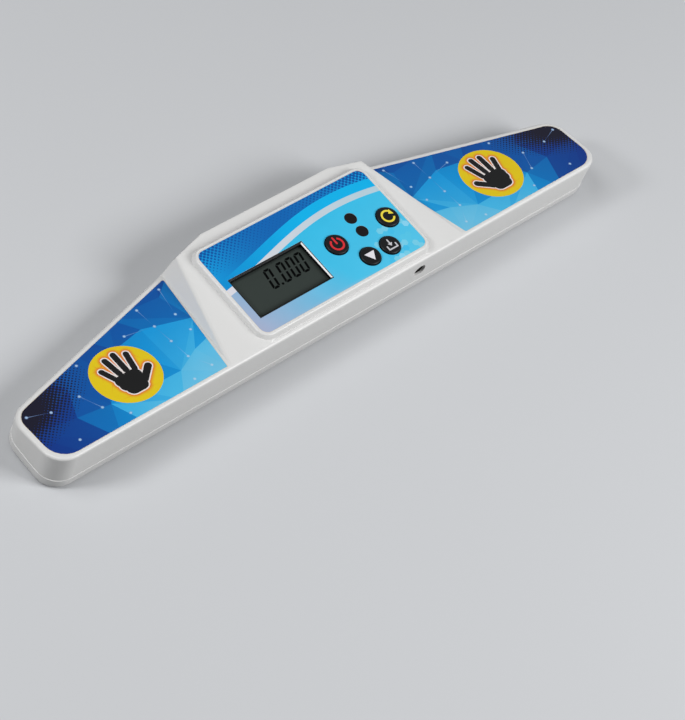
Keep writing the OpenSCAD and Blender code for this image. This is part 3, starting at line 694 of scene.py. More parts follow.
@dataclass
class InkSheet:
    """Ink on one flat face of the part, painted figure over figure.

    Where figures overlap, only the last one painted there gets ink, so that the
    sheet is a single layer.
    """

    ATTRIBUTE = "ink"

    name: str
    height: Height
    finish: Finish
    outline: Sequence[Point] = ()
    holes: Sequence[Sequence[Point]] = ()
    figures: list[Sequence[Point]] = field(default_factory=list)
    tints: list[Tint] = field(default_factory=list)
    corners: list[Point] = field(default_factory=list)

    def box(self) -> tuple[Vector, Vector]:
        """Returns the lowest and the highest corner of the outline."""
        sides = list(zip(*self.outline))
        return Vector(map(min, sides)), Vector(map(max, sides))

    def fill(self, figure: Sequence[Point], tint: Tint) -> None:
        """Fills a figure with ink, over what is there.

        Args:
            figure: The figure's outline in millimetres.
            tint: One colour, or a function that gives the colour at a place.
        """
        self.figures.append(figure)
        self.tints.append(tint)

    def lay(self, body: str) -> Piece:
        """Makes the piece.

        Args:
            body: CAD body that it rides on.

        Returns:
            The new piece.
        """
        masks = [self.outline, *self.holes] if self.outline else []
        rings = [r if area(r) > 0 else r[::-1] for r in [*masks, *self.figures]]
        points, faces = [], []
        for ring in rings:
            faces.append(list(range(len(points), len(points) + len(ring))))
            points += ring
        spots, _, cells, _, _, held_by = delaunay_2d_cdt(
            [Vector(p) for p in [*points, *self.corners]],
            [],
            faces,
            CDT_INSIDE_ONLY,
            CDT_GAP_MM,
        )
        kept, tops = [], []
        for cell, holders in zip(cells, held_by):
            inside = not masks or (
                0 in holders and not any(1 <= i < len(masks) for i in holders)
            )
            if inside and holders and max(holders) >= len(masks):
                kept.append(cell)
                tops.append(max(holders) - len(masks))
        used = sorted({i for cell in kept for i in cell})
        number = {old: new for new, old in enumerate(used)}
        places = [(*spots[i], self.height(*spots[i]) + INK_STEP_MM) for i in used]
        mesh = bpy.data.meshes.new(self.name)
        mesh.from_pydata(
            [Vector(p) * MM for p in places], [], [[number[i] for i in c] for c in kept]
        )
        ink = mesh.color_attributes.new(self.ATTRIBUTE, "FLOAT_COLOR", "CORNER")
        for face, top in zip(mesh.polygons, tops):
            tint = self.tints[top]
            for loop in face.loop_indices:
                place = places[mesh.loops[loop].vertex_index][:2]
                ink.data[loop].color = (*(tint(place) if callable(tint) else tint), 1.0)
        mesh.materials.append(self.finish.material())
        piece = add_object(self.name, mesh)
        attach(piece, body)
        return piece


# --- Casing ---


@dataclass(frozen=True)
class Casing:
    """The two shells, the battery door, the feet and the screws."""

    edge_mm: float = 0.2
    jack_edge_mm: float = 0.15
    jack_x_mm: float = 37.3
    jack_reach_mm: float = 4.0

    def build(self) -> list[Piece]:
        """Builds the casing.

        Returns:
            Its new pieces.
        """
        finish_nodes(NICKEL, "case_screws", "pcb_screws")
        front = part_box("top_shell")[0].y / MM + NEAR_MM

        def by_jack(p: Vector) -> bool:
            """Tells whether a place is on the front wall, round the jack's hole."""
            return p.y < front and abs(p.x - self.jack_x_mm) < self.jack_reach_mm

        return [
            dress("top_shell", "root", MOULDED_ABS, self.jack_edge_mm, where=by_jack),
            dress("bottom_shell", "root", MOULDED_ABS),
            dress("battery_door", "door", MOULDED_ABS, self.edge_mm),
            dress("rubber_feet", "root", FOOT_RUBBER, self.edge_mm),
        ]


# --- Printed films ---


class Side(Enum):
    """The two wings, each with the sign of its x."""

    LEFT = -1
    RIGHT = 1


@dataclass(frozen=True)
class PadPrint:
    """Print of one wing's film: blue facets, a screen of dots and the hand's disc."""

    # The hand's sign, 1 mm a unit before scaling: four fingers, the thumb, the palm.
    HAND = (
        ((-3.9, 0.2), (-5.5, 4.6), 0.95),
        ((-1.5, 1.2), (-2.0, 7.4), 1.0),
        ((1.1, 1.2), (1.5, 7.9), 1.0),
        ((3.6, 0.4), (5.0, 6.2), 0.95),
        ((3.4, -4.6), (7.6, -1.0), 1.15),
        ((-2.7, -1.6), (2.2, -1.6), 2.2),
        ((-2.4, -3.4), (2.0, -3.4), 2.3),
        ((-1.6, -5.4), (1.4, -5.4), 2.2),
    )
    # Blues from the dark tip to the pale inner front.
    BLUES = (
        (0.0, "#06287C"),
        (0.15, "#063F8E"),
        (0.32, "#0654A3"),
        (0.5, "#0870B8"),
        (0.66, "#1096DA"),
        (0.82, "#46B8E7"),
        (1.0, "#93D0E5"),
    )

    side: Side
    edge_line: float = 0.15
    seed: int = 11
    # Tone: the share that grows inwards, and how soon the rest can grow frontwards.
    inner_share: float = 0.32
    inner_rise: float = 1.9
    # Facets: width, margin past the film, stray of a corner, step and drift in tone.
    facet: float = 15.0
    facet_margin: Point = (4.0, 3.0)
    facet_stray: float = 4.2
    facet_step: float = 0.09
    facet_drift: float = 0.25
    # Screen: pitch, radii, gap to the tip, length and depth, slope of the back edge.
    dot_pitch: float = 1.7
    dot_radius: float = 1.15
    dot_least: float = 0.14
    dot_edge: float = 0.3
    screen_reach: Point = (38.0, 18.0)
    back_slope: float = 0.259
    # Stars: their field, gaps to the edge, the disc and each other, halo, core and ray.
    star_count: int = 17
    star_radius: float = 0.45
    star_corners: int = 12
    star_field: tuple[Point, Point] = ((54.0, 136.0), (-24.0, 20.0))
    star_edge: float = 1.5
    star_disc: float = 2.0
    star_apart: float = 8.5
    star_layers: tuple[Point, ...] = ((1.5, 0.25), (1.0, 0.8))
    ray_half: float = 0.13
    ray_share: float = 0.4
    # Disc: radius, place from the middle and from the film's front, glow and rim.
    disc_radius: float = 13.3
    disc_out: float = 93.7
    disc_back: float = 17.8
    disc_corners: int = 72
    disc_rings: int = 27
    glow_from: float = 0.5
    glow_width: float = 1.3
    hand_scale: float = 1.2
    hand_rim: float = 0.5

    def build(self) -> list[Piece]:
        """Prints the film.

        Returns:
            The print as one piece.
        """
        side = self.side.name.lower()
        node = f"{side}_pad_film"
        finish_nodes(FILM_BACKING, node)
        loop = top_loops(node)[0]
        front = min(loop, key=lambda p: p.y)
        back = max(loop, key=lambda p: p.y)
        slope = (back.z - front.z) / (back.y - front.y)
        sheet = InkSheet(
            f"{side}_pad_print",
            lambda x, y: front.z + slope * (y - front.y),
            PAD_INK,
            inset([(p.x, p.y) for p in loop], self.edge_line),
        )
        centre = (self.side.value * self.disc_out, front.y + self.disc_back)
        draw = random.Random(self.seed)
        self._facets(sheet, draw)
        self._screen(sheet)
        self._stars(sheet, centre, draw)
        self._disc(sheet, centre)
        return [sheet.lay("root")]

    def _tone(self, outline: Sequence[Point], p: Point) -> float:
        """Tells how far a place lies from the dark tip to the pale inner front.

        Args:
            outline: The film's outline.
            p: The place.

        Returns:
            The tone there, from 0 to 1.
        """
        outs = [abs(q[0]) for q in outline]
        ys = [q[1] for q in outline]
        inner = (max(outs) - abs(p[0])) / (max(outs) - min(outs))
        front = (max(ys) - p[1]) / (max(ys) - min(ys))
        rise = front * min(1.0, self.inner_rise * inner)
        return self.inner_share * inner + (1 - self.inner_share) * rise

    def _facets(self, sheet: InkSheet, draw: random.Random) -> None:
        """Covers the film with facets of blue, each with its own step in tone.

        Args:
            sheet: The print.
            draw: Source of the facets' small differences.
        """
        outline = sheet.outline
        outs = [abs(q[0]) for q in outline]
        ys = [q[1] for q in outline]
        columns = math.ceil((max(outs) - min(outs)) / self.facet) + 1
        rows = math.ceil((max(ys) - min(ys)) / self.facet) + 1

        def corner(i: int, j: int) -> Point:
            """Places a corner of the net, a little off its place in the bond.

            Args:
                i: Its column.
                j: Its row.

            Returns:
                The corner.
            """
            out = min(outs) - self.facet_margin[0]
            out += self.facet * (i + 0.5 * (j % 2) - 0.5)
            out += draw.uniform(-self.facet_stray, self.facet_stray)
            y = min(ys) - self.facet_margin[1] + self.facet * j
            y += draw.uniform(-self.facet_stray, self.facet_stray)
            return self.side.value * out, y

        net = [[corner(i, j) for i in range(columns + 1)] for j in range(rows + 1)]
        for j in range(rows):
            for i in range(columns):
                a, b = net[j][i], net[j][i + 1]
                c, d = net[j + 1][i + 1], net[j + 1][i]
                even, odd = ((a, b, d), (b, c, d)), ((a, b, c), (a, c, d))
                for half in odd if (i + j) % 2 else even:
                    step = draw.uniform(-self.facet_step, self.facet_step)
                    sheet.fill(half, self._facet_tint(outline, half, step))

    def _facet_tint(
        self, outline: Sequence[Point], facet: Sequence[Point], step: float
    ) -> Tint:
        """Chooses the blue of a facet, which drifts a little across it.

        Args:
            outline: The film's outline.
            facet: The facet's corners.
            step: Its own step in tone.

        Returns:
            The function that gives the blue at a place.
        """
        flat = self._tone(outline, centre_of(facet))

        def tint(p: Point) -> Colour:
            """Returns the facet's blue at a place."""
            drift = self.facet_drift * (self._tone(outline, p) - flat)
            return ramp(self.BLUES, flat + drift + step)

        return tint

    def _screen(self, sheet: InkSheet) -> None:
        """Lays a screen of dark dots that grow together in the tip's back corner.

        Args:
            sheet: The print.
        """
        dark = linear("#0C0A20")
        tip = max(abs(q[0]) for q in sheet.outline)
        corner = max(q[1] for q in sheet.outline if abs(q[0]) > tip - 1)
        long, deep = self.screen_reach
        row_pitch = self.dot_pitch / 2
        for i in range(math.ceil(long / self.dot_pitch)):
            for j in range(math.ceil(2 * deep / row_pitch)):
                gone = self.dot_edge + (i + 0.5 * (j % 2)) * self.dot_pitch
                y = corner - deep + j * row_pitch
                back = corner + gone * self.back_slope
                share = math.hypot(gone / long, (back - y) / deep)
                radius = self.dot_radius * (1 - share)
                if radius > self.dot_least:
                    spot = (self.side.value * (tip - gone), y)
                    sheet.fill(disc(spot, radius, DOT_CORNERS), dark)

    def _stars(self, sheet: InkSheet, centre: Point, draw: random.Random) -> None:
        """Scatters small pale dots, some with a fine line that fades to a neighbour.

        Args:
            sheet: The print.
            centre: Middle of the hand's disc.
            draw: Source of the dots' places.
        """
        outline = sheet.outline
        pale = linear("#B4D2EA")
        outs, ys = self.star_field
        spots: list[Point] = []
        while len(spots) < self.star_count:
            p = (self.side.value * draw.uniform(*outs), draw.uniform(*ys))
            clear = holds(outline, p) and far_from(p, outline) > self.star_edge
            apart = all(math.dist(p, q) > self.star_apart for q in spots)
            off_disc = math.dist(p, centre) > self.disc_radius + self.star_disc
            if clear and apart and off_disc:
                spots.append(p)

        def over(p: Point, share: float) -> Colour:
            """Returns the ground's colour with a share of the pale ink in it."""
            return mix(ramp(self.BLUES, self._tone(outline, p)), pale, share)

        def fading(p: Point, q: Point) -> Tint:
            """Returns the tint of a line that fades from one star to another."""
            return lambda at: over(
                at, self.ray_share * max(0.0, 1 - math.dist(p, at) / math.dist(p, q))
            )

        for p in spots[::2]:
            q = sorted(spots, key=lambda other: math.dist(p, other))[1]
            side = Vector((p[1] - q[1], q[0] - p[0])).normalized() * self.ray_half
            ray = [(p[0] - side.x, p[1] - side.y), (p[0] + side.x, p[1] + side.y), q]
            sheet.fill(ray, fading(p, q))
        for p in spots:
            for swell, share in self.star_layers:
                dot = disc(p, swell * self.star_radius, self.star_corners)
                sheet.fill(dot, over(p, share))

    def _hand(self, centre: Point) -> list[Bar]:
        """Places the bars of the hand's sign on the film, with the thumb inwards.

        Args:
            centre: Middle of the hand's disc.

        Returns:
            Ends and radius of each bar.
        """
        k = self.hand_scale

        def placed(p: Point) -> Point:
            """Returns a point of the sign on the film."""
            return centre[0] - self.side.value * k * p[0], centre[1] + k * p[1]

        return [(placed(a), placed(b), k * r) for a, b, r in self.HAND]

    def _disc(self, sheet: InkSheet, centre: Point) -> None:
        """Draws the yellow disc with the hand on it.

        Args:
            sheet: The print.
            centre: Middle of the disc.
        """
        yellow, glow = linear("#E2C61B"), linear("#E07030")
        bars = self._hand(centre)

        def tint(p: Point) -> Colour:
            """Returns the disc's colour, which glows orange close to the hand."""
            gap = min(far_from(p, [a, b]) - r for a, b, r in bars)
            return mix(glow, yellow, (gap - self.glow_from) / self.glow_width)

        sheet.fill(disc(centre, self.disc_radius, self.disc_corners), tint)
        for ring in range(1, self.disc_rings):
            radius = self.disc_radius * ring / self.disc_rings
            sheet.corners += disc(centre, radius, 6 * ring)
        for width, ink in ((self.hand_rim, "#E9E2DF"), (0.0, "#0A0A0A")):
            for a, b, r in bars:
                sheet.fill(capsule(a, b, r + width), linear(ink))


@dataclass(frozen=True)
class PanelPrint:
    """Print of the console's film: blue bands round the display and the keys."""

    edge_line: float = 0.15
    # Place along the film, as a share, where the back is deepest and the dots least.
    calm: float = 0.45
    # Bands: their back edges and the swing of these, as shares of the film's depth.
    levels: tuple[float, ...] = (0.765, 0.665, 0.6)
    swing: float = 0.15
    wave_turn: float = 3.3
    wave_start: float = -0.9
    wave_steps: int = 60
    overhang: float = 1.0
    # How fast the bands' colours change along the film, and across it.
    royal_rise: float = 4.2
    cyan_rise: float = 1.8
    ground_rise: Point = (1.7, 0.5)
    ground_sheen: float = 0.6
    tint_grid: tuple[int, int] = (30, 15)
    # Screen: pitch, radii, gap to the edge, rows, and least size and growth of a dot.
    dot_pitch: float = 1.9
    dot_radius: float = 0.72
    dot_least: float = 0.12
    dot_edge: float = 0.6
    dot_rows: int = 14
    swell: Point = (0.3, 1.5)
    # Honeycomb: size and count of its cells, gap to the corner, reach and fill.
    hexagon: float = 1.5
    hexagons: tuple[int, int] = (17, 11)
    hexagon_edge: Point = (0.4, 0.6)
    hexagon_reach: tuple[int, int] = (15, 9)
    hexagon_fill: float = 0.75
    seed: int = 5

    def build(self) -> list[Piece]:
        """Prints the film.

        Returns:
            The print as one piece.
        """
        finish_nodes(PANEL_BACKING, "panel_film")
        loops = top_loops("panel_film")
        top = loops[0][0].z
        rings = [[(p.x, p.y) for p in ring] for ring in loops]
        rings.sort(key=lambda ring: abs(area(ring)), reverse=True)
        sheet = InkSheet(
            "panel_print",
            lambda x, y: top,
            PANEL_INK,
            inset(rings[0], self.edge_line),
            rings[1:],
        )
        self._bands(sheet)
        self._hexagons(sheet)
        return [sheet.lay("root")]

    def _bands(self, sheet: InkSheet) -> None:
        """Colours the film in sweeping bands, from royal blue at the back.

        Args:
            sheet: The print.
        """
        low, high = sheet.box()
        size = high - low

        def shares(p: Point) -> Point:
            """Returns a place as shares of the film's length and depth."""
            return (p[0] - low.x) / size.x, (p[1] - low.y) / size.y

        def royal(p: Point) -> Colour:
            """Returns royal blue, brighter towards both ends."""
            ends = abs(shares(p)[0] - self.calm) ** 2
            return mix(linear("#0A64B2"), linear("#0D9BDE"), self.royal_rise * ends)

        def cyan(p: Point) -> Colour:
            """Returns the bright band's blue."""
            share = self.cyan_rise * shares(p)[0]
            return mix(linear("#088ED3"), linear("#0CB3EC"), share)

        def white(p: Point) -> Colour:
            """Returns the thin band's white, cooler to the right."""
            return mix(linear("#DCDCE4"), linear("#B5D0DD"), shares(p)[0])

        def ground(p: Point) -> Colour:
            """Returns the blue round the keys, paler at the left end."""
            u, v = shares(p)
            share = self.ground_rise[0] * u + self.ground_rise[1] * v
            base = mix(linear("#A8AFCB"), linear("#30BDE9"), share)
            return mix(base, linear("#68CBEB"), self.ground_sheen * u * (1 - v))

        def wave(level: float, x: float) -> float:
            """Returns the y of a band's back edge, which swings like a slow wave."""
            turn = self.wave_turn * shares((x, low.y))[0] + self.wave_start
            return low.y + size.y * (level + self.swing * math.sin(turn))

        sheet.fill(sheet.outline, royal)
        self._screen(sheet)
        steps, over = self.wave_steps, self.overhang
        xs = [low.x - over + (size.x + 2 * over) * i / steps for i in range(steps + 1)]
        corners = [(xs[-1], low.y - over), (xs[0], low.y - over)]
        for level, tint in zip(self.levels, (cyan, white, ground)):
            sheet.fill([(x, wave(level, x)) for x in xs] + corners, tint)
        columns, rows = self.tint_grid
        sheet.corners += [
            (low.x + size.x * (i + 0.5) / columns, low.y + size.y * (j + 0.5) / rows)
            for i in range(columns)
            for j in range(rows)
        ]

    def _screen(self, sheet: InkSheet) -> None:
        """Lays a screen of deep blue dots that shrink away from the back edge.

        Args:
            sheet: The print.
        """
        deep = linear("#06509E")
        low, high = sheet.box()
        for j in range(self.dot_rows):
            for i in range(math.ceil((high.x - low.x) / self.dot_pitch)):
                x = low.x + self.dot_edge + (i + 0.5 * (j % 2)) * self.dot_pitch
                y = high.y - self.dot_edge - j * self.dot_pitch / 2
                off_calm = abs((x - low.x) / (high.x - low.x) - self.calm)
                swell = min(1.0, self.swell[0] + self.swell[1] * off_calm)
                radius = self.dot_radius * swell * (1 - j / self.dot_rows)
                if radius > self.dot_least:
                    sheet.fill(disc((x, y), radius, DOT_CORNERS), deep)

    def _hexagons(self, sheet: InkSheet) -> None:
        """Tints a scatter of cells of a honeycomb, densest in the front right corner.

        Args:
            sheet: The print.
        """
        tones = ("#76CEE9", "#55C6E9", "#44BFEA", "#88D4F1")
        low, high = sheet.box()
        draw = random.Random(self.seed)
        across = self.hexagon * math.sqrt(3)
        for i in range(self.hexagons[0]):
            for j in range(self.hexagons[1]):
                x = high.x - self.hexagon_edge[0] - (i + 0.5 * (j % 2)) * across
                y = low.y + self.hexagon_edge[1] + j * 1.5 * self.hexagon
                away = math.hypot(i / self.hexagon_reach[0], j / self.hexagon_reach[1])
                if draw.random() < (1.0 - away) * self.hexagon_fill:
                    cell = arc((x, y), self.hexagon, 30, 330, 5)
                    sheet.fill(cell, linear(draw.choice(tones)))


# --- Display ---


@dataclass(frozen=True)
class Display:
    """The display's surround, its glass and the digits that it shows."""

    # Surround: half the opening, its chamfer and how far the rim stands up to the film.
    opening: Point = (17.6, 8.95)
    opening_near: float = 0.05
    chamfer_mm: float = 0.45
    lip_mm: float = 0.27
    glass_edge_mm: float = 0.1
    # Digits: size, stroke, lean, and the places of the noughts and the point.
    digit_height: float = 8.0
    digit_width: float = 2.47
    stroke: float = 1.0
    lean: float = 0.16
    first_x: float = -24.0
    foot_y: float = -8.1
    pitches: tuple[float, ...] = (0.0, 6.12, 10.72, 15.23)
    point_at: Point = (-19.7, -8.06)
    point_radius: float = 0.55
    # Strokes: their mitre, the gap between two, and where they end below mid-height.
    mitre: float = 0.62
    gap: float = 0.13
    waist: Point = (0.25, 0.4)

    def build(self) -> list[Piece]:
        """Builds the display.

        Returns:
            Its new pieces.
        """
        finish_nodes(DARK_SILICONE, "lcd_zebra_strips")
        rim = top_of("display_frame") - NEAR_MM
        centre = middle("display_frame")

        def on_opening(p: Vector) -> bool:
            """Tells whether a place is on the edge of the surround's opening."""
            gaps = [abs(p[i] - centre[i]) - self.opening[i] for i in (0, 1)]
            return p.z > rim and max(gaps) < self.opening_near

        surround = dress(
            "display_frame", "root", POLISHED_BLACK_ABS, self.chamfer_mm,
            where=on_opening, steps=1, lift_mm=self.lip_mm,
        )  # fmt: skip
        glass = dress("lcd_glass", "root", DISPLAY_GLASS, self.glass_edge_mm)
        return [surround, glass, self._digits().lay("root")]

    def _digits(self) -> InkSheet:
        """Draws the digits of a cleared clock, each leaning to the right.

        Returns:
            The sheet that holds them.
        """
        top = top_of("lcd_glass")
        sheet = InkSheet("display_digits", lambda x, y: top, DISPLAY_SEGMENTS)
        black = linear(DISPLAY_SEGMENTS.colour)
        for pitch in self.pitches:
            foot = (self.first_x + pitch, self.foot_y)
            for figure in self._nought():
                leaning = [(x + self.lean * y, y) for x, y in figure]
                sheet.fill(moved(leaning, foot), black)
        sheet.fill(disc(self.point_at, self.point_radius, 12), black)
        return sheet

    def _nought(self) -> list[list[Point]]:
        """Draws a nought from its foot's left corner.

        Returns:
            Its six strokes.
        """
        w, h, s = self.digit_width, self.digit_height, self.stroke / 2
        cut, gap = self.mitre, self.gap
        side = [
            (-s, cut - s + gap),
            (cut / 2 - s, cut / 2 - s + gap),
            (s, s + gap),
            (s, h / 2 - self.waist[0]),
            (-s, h / 2 - self.waist[1]),
        ]
        end = [
            (cut / 2 - s + gap, cut / 2 - s),
            (cut - s + gap, -s),
            (w + s - cut - gap, -s),
            (w + s - cut / 2 - gap, cut / 2 - s),
            (w - s - gap, s),
            (s + gap, s),
        ]
        lower = [side, [(w - x, y) for x, y in side], end]
        return lower + [[(x, h - y) for x, y in stroke] for stroke in lower]


# --- Keys and lamps ---


@dataclass(frozen=True)
class Keys:
    """The four rubber keys with their painted signs, and what is under them.

    The signs' measures are in millimetres from the key's middle, and arcs in degrees.
    """

    smooth_deg: float = 50.0
    power_centre: Point = (0.0, -0.12)
    power_ring: Point = (2.15, 3.0)
    power_arc: Point = (122, 418)
    power_bar: Bar = ((0.0, 0.23), (0.0, 2.98), 0.42)
    turn_ring: Point = (2.1, 2.95)
    turn_arc: Point = (45, 332)
    turn_head: tuple[Point, ...] = ((0.9, 0.75), (2.35, 2.5), (2.95, -0.15))
    mode_head: tuple[Point, ...] = ((-2.35, 1.3), (2.5, 1.3), (0.2, -2.6))
    store_half: float = 0.3
    store_shaft: tuple[Point, Point] = ((0.0, 2.2), (0.0, 0.2))
    store_head: tuple[Point, ...] = ((-1.1, 0.55), (0.0, -0.85), (1.1, 0.55))
    store_tray: tuple[Point, ...] = (
        (-2.1, -0.4), (-2.1, -2.0), (2.1, -2.0), (2.1, -0.4),
    )  # fmt: skip

    def build(self) -> list[Piece]:
        """Builds the keys and their signs.

        Returns:
            Their new pieces.
        """
        signs = {
            "power": ("#D3222B", self._power_sign()),
            "mode": ("#E4E2E8", [self.mode_head]),
            "save": ("#C9C9CD", self._store_sign()),
            "reset": ("#EFDB42", self._turn_sign()),
        }
        finish_nodes(DARK_SILICONE, "keypad_mat", *(f"{k}_key_dome" for k in signs))
        finish_nodes(CARBON_RUBBER, *(f"{k}_key_pill" for k in signs))
        pieces = []
        for key, (colour, figures) in signs.items():
            node, body = f"{key}_key", f"{key}_button"
            pieces.append(dress(node, body, KEY_RUBBER, smooth_deg=self.smooth_deg))
            top = top_of(node)
            sheet = InkSheet(f"{key}_sign", lambda x, y, top=top: top, KEY_INK)
            for figure in figures:
                sheet.fill(moved(figure, middle(node)), linear(colour))
            pieces.append(sheet.lay(body))
        return pieces

    def _power_sign(self) -> list[list[Point]]:
        """Returns an open ring with a bar through its gap."""
        ring = band(self.power_centre, *self.power_ring, *self.power_arc)
        return [ring, capsule(*self.power_bar)]

    def _turn_sign(self) -> list[Sequence[Point]]:
        """Returns a ring that turns back on itself, with an arrow head."""
        return [band((0.0, 0.0), *self.turn_ring, *self.turn_arc), self.turn_head]

    def _store_sign(self) -> list[Sequence[Point]]:
        """Draws an arrow that drops into an open tray.

        Returns:
            Its shaft, its head and the tray's sides.
        """
        sides = zip(self.store_tray, self.store_tray[1:])
        tray = [capsule(a, b, self.store_half) for a, b in sides]
        return [capsule(*self.store_shaft, self.store_half), self.store_head, *tray]


@dataclass(frozen=True)
class Lamps:
    """The two status lamps behind their smoked lenses."""

    def build(self) -> list[Piece]:
        """Returns the lamps' pieces."""
        finish_nodes(LED_CASE, "far_status_led", "near_status_led")
        return [
            # The lenses' faint red is painted light from the lamps behind them.
            dress(f"{place}_status_lens", "root", SMOKED_LENS)
            for place in ("far", "near")
        ]


# --- Inside and jack ---


@dataclass(frozen=True)
class Inside:
    """The board, the jack, the touch plates and the battery's fittings."""

    FINISHED = (
        (SOLDER_MASK, "main_pcb"),
        (POTTING_RESIN, "controller_blob"),
        (NICKEL, "crystal_can", "data_jack_pins", "battery_springs", "battery_plates"),
        (CERAMIC, "capacitors"),
        (CELL_WRAP, "battery_cells"),
        (RED_WIRE, "battery_leads"),
        (GREY_WIRE, "left_pad_lead", "right_pad_lead"),
        (COPPER, "left_touch_plate", "right_touch_plate"),
    )

    body_edge_mm: float = 0.1
    sleeve_edge_mm: float = 0.08

    def build(self) -> list[Piece]:
        """Builds the rest of the inside.

        Returns:
            The pieces that are new; the others keep their CAD meshes.
        """
        for finish, *nodes in self.FINISHED:
            finish_nodes(finish, *nodes)
        return [
            dress("data_jack_body", "root", BLACK_NYLON, self.body_edge_mm),
            # The sleeve's near-black colour is painted shade for the inside of the
            # jack's mouth.
            dress("data_jack_sleeve", "root", BLACK_NICKEL_PAINTED_SHADE, self.sleeve_edge_mm),
        ]


# --- Studio ---


@dataclass(frozen=True)
class Softbox:
    """A square soft light that faces the part."""

    name: str
    place_m: tuple[float, float, float]
    side_m: float
    watts: float

    def hang(self) -> None:
        """Adds the light to the scene."""
        lamp = bpy.data.lights.new(self.name, "AREA")
        lamp.size, lamp.energy = self.side_m, self.watts
        box = add_object(self.name, lamp)
        box.location = self.place_m
        box.rotation_euler = (-box.location).to_track_quat("-Z", "Y").to_euler()


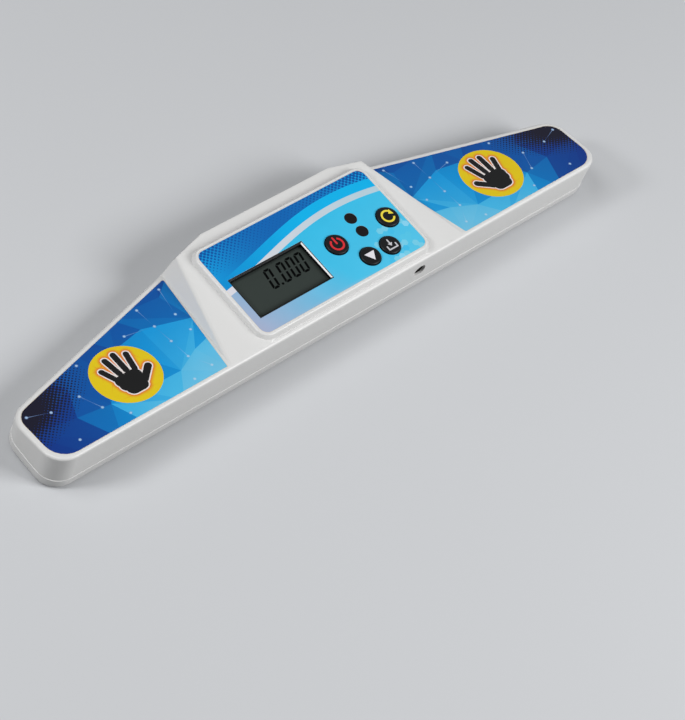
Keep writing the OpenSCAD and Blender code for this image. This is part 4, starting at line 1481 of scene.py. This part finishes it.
@dataclass(frozen=True)
class Studio:
    """A pale floor, soft light from above and the photograph's camera."""

    # The first lights the front, the others the tops and the faces at the left.
    softboxes: tuple[Softbox, ...] = (
        Softbox("key_softbox", (0.48, -0.76, 0.7), 0.5, 9.6),
        Softbox("upper_left_softbox", (-0.5, 0.34, 0.94), 0.45, 3.4),
        Softbox("back_left_softbox", (-0.84, 0.36, 0.605), 0.21, 3.6),
    )
    camera_mm: tuple[float, float, float] = (-461.96, -280.43, 659.13)
    camera_deg: tuple[float, float, float] = (35.097, -15.366, -41.254)
    lens_mm: float = 111.07
    sensor_mm: float = 36.0
    clip_m: tuple[float, float] = (0.05, 20.0)
    floor_m: float = 3.0
    fade_m: tuple[float, float] = (0.26, 0.6)
    wall_colour: str = "#C8CACD"
    # Share of its light that the floor throws back, as the photo's backdrop is dark.
    bounce: float = 0.35
    room_colour: str = "#FAFAFA"
    room_strength: float = 0.14

    def build(self) -> None:
        """Makes the floor, the lights, the world and the camera."""
        self._floor()
        for softbox in self.softboxes:
            softbox.hang()
        self._world()
        self._camera()

    def _floor(self) -> None:
        """Lays the pale floor under the feet."""
        half = self.floor_m / 2
        corners = [(-half, -half), (half, -half), (half, half), (-half, half)]
        mesh = bpy.data.meshes.new("studio_floor")
        mesh.from_pydata([(*c, 0.0) for c in corners], [], [[0, 1, 2, 3]])
        paper = PAPER.material()
        mesh.materials.append(paper)
        self._cut_bounce(paper.node_tree)
        self._fade_out(paper.node_tree)
        add_object("studio_floor", mesh)

    def _cut_bounce(self, tree: Tree) -> None:
        """Lets the floor throw less light on the part than it shows the camera.

        Args:
            tree: Node tree of the floor's material.
        """
        colour = tree.nodes["Principled BSDF"].inputs["Base Color"]
        inputs = {"Value": self._is_seen(tree), "To Min": self.bounce, "To Max": 1.0}
        share = add_node(tree, "MapRange", inputs).outputs["Result"]
        inputs = {"Vector": colour.links[0].from_socket, "Scale": share}
        dimmed = add_node(tree, "VectorMath", inputs, operation="SCALE")
        tree.links.new(dimmed.outputs["Vector"], colour)

    def _fade_out(self, tree: Tree) -> None:
        """Lets the far floor run into the wall, as a curved paper backdrop does.

        Args:
            tree: Node tree of the floor's material.
        """
        place = add_node(tree, "TexCoord").outputs["Object"]
        away = add_node(tree, "VectorMath", {0: place}, operation="LENGTH")
        inputs = {
            "Value": away.outputs["Value"],
            "From Min": self.fade_m[0],
            "From Max": self.fade_m[1],
        }
        far = add_node(tree, "MapRange", inputs, interpolation_type="SMOOTHERSTEP")
        inputs = {0: far.outputs["Result"], 1: self._is_seen(tree)}
        share = add_node(tree, "Math", inputs, operation="MULTIPLY")
        colour = {"Color": (*linear(self.wall_colour), 1.0)}
        wall = add_node(tree, "Emission", colour)
        inputs = {
            0: share.outputs["Value"],
            1: tree.nodes["Principled BSDF"].outputs["BSDF"],
            2: wall.outputs["Emission"],
        }
        both = add_node(tree, "MixShader", inputs)
        surface = tree.nodes["Material Output"].inputs["Surface"]
        tree.links.new(both.outputs["Shader"], surface)

    @staticmethod
    def _is_seen(tree: Tree) -> Socket:
        """Tells rays that look at the set from rays that only gather its light.

        Args:
            tree: Node tree that asks.

        Returns:
            1 for a camera, glossy or transmission ray, and 0 for the rest.
        """
        path = add_node(tree, "LightPath").outputs
        seen = path["Is Camera Ray"]
        for kind in ("Is Glossy Ray", "Is Transmission Ray"):
            inputs = {0: seen, 1: path[kind]}
            either = add_node(tree, "Math", inputs, operation="MAXIMUM")
            seen = either.outputs["Value"]
        return seen

    def _world(self) -> None:
        """Fills the room with even light, and shows a pale wall behind the floor."""
        world = bpy.data.worlds.new("studio")
        world.use_nodes = True
        tree = world.node_tree
        tree.nodes.clear()
        lights = (self.room_colour, self.room_strength), (self.wall_colour, 1.0)
        inputs = {0: self._is_seen(tree)}
        for i, (colour, power) in enumerate(lights, 1):
            values = {"Color": (*linear(colour), 1.0), "Strength": power}
            light = add_node(tree, "Background", values)
            inputs[i] = light.outputs["Background"]
        shown = add_node(tree, "MixShader", inputs).outputs["Shader"]
        add_node(tree, "OutputWorld", {"Surface": shown})
        bpy.context.scene.world = world

    def _camera(self) -> None:
        """Sets the camera where the photograph was taken from."""
        lens = bpy.data.cameras.new("photo_camera")
        lens.lens, lens.sensor_width = self.lens_mm, self.sensor_mm
        lens.clip_start, lens.clip_end = self.clip_m
        camera = add_object("photo_camera", lens)
        camera.location = Vector(self.camera_mm) * MM
        camera.rotation_euler = Euler(map(math.radians, self.camera_deg), "XYZ")
        bpy.context.scene.camera = camera
        bpy.context.scene.view_settings.view_transform = "Standard"


def main() -> None:
    """Builds every sub-assembly and the studio."""
    logging.basicConfig(level=logging.INFO, format="%(message)s")
    assemblies = (
        Casing(),
        PadPrint(Side.LEFT),
        PadPrint(Side.RIGHT),
        PanelPrint(),
        Display(),
        Keys(),
        Lamps(),
        Inside(),
    )
    for assembly in assemblies:
        for piece in assembly.build():
            LOG.info("%s: %d faces", piece.name, len(piece.data.polygons))
    Studio().build()


if __name__ == "__main__":
    main()
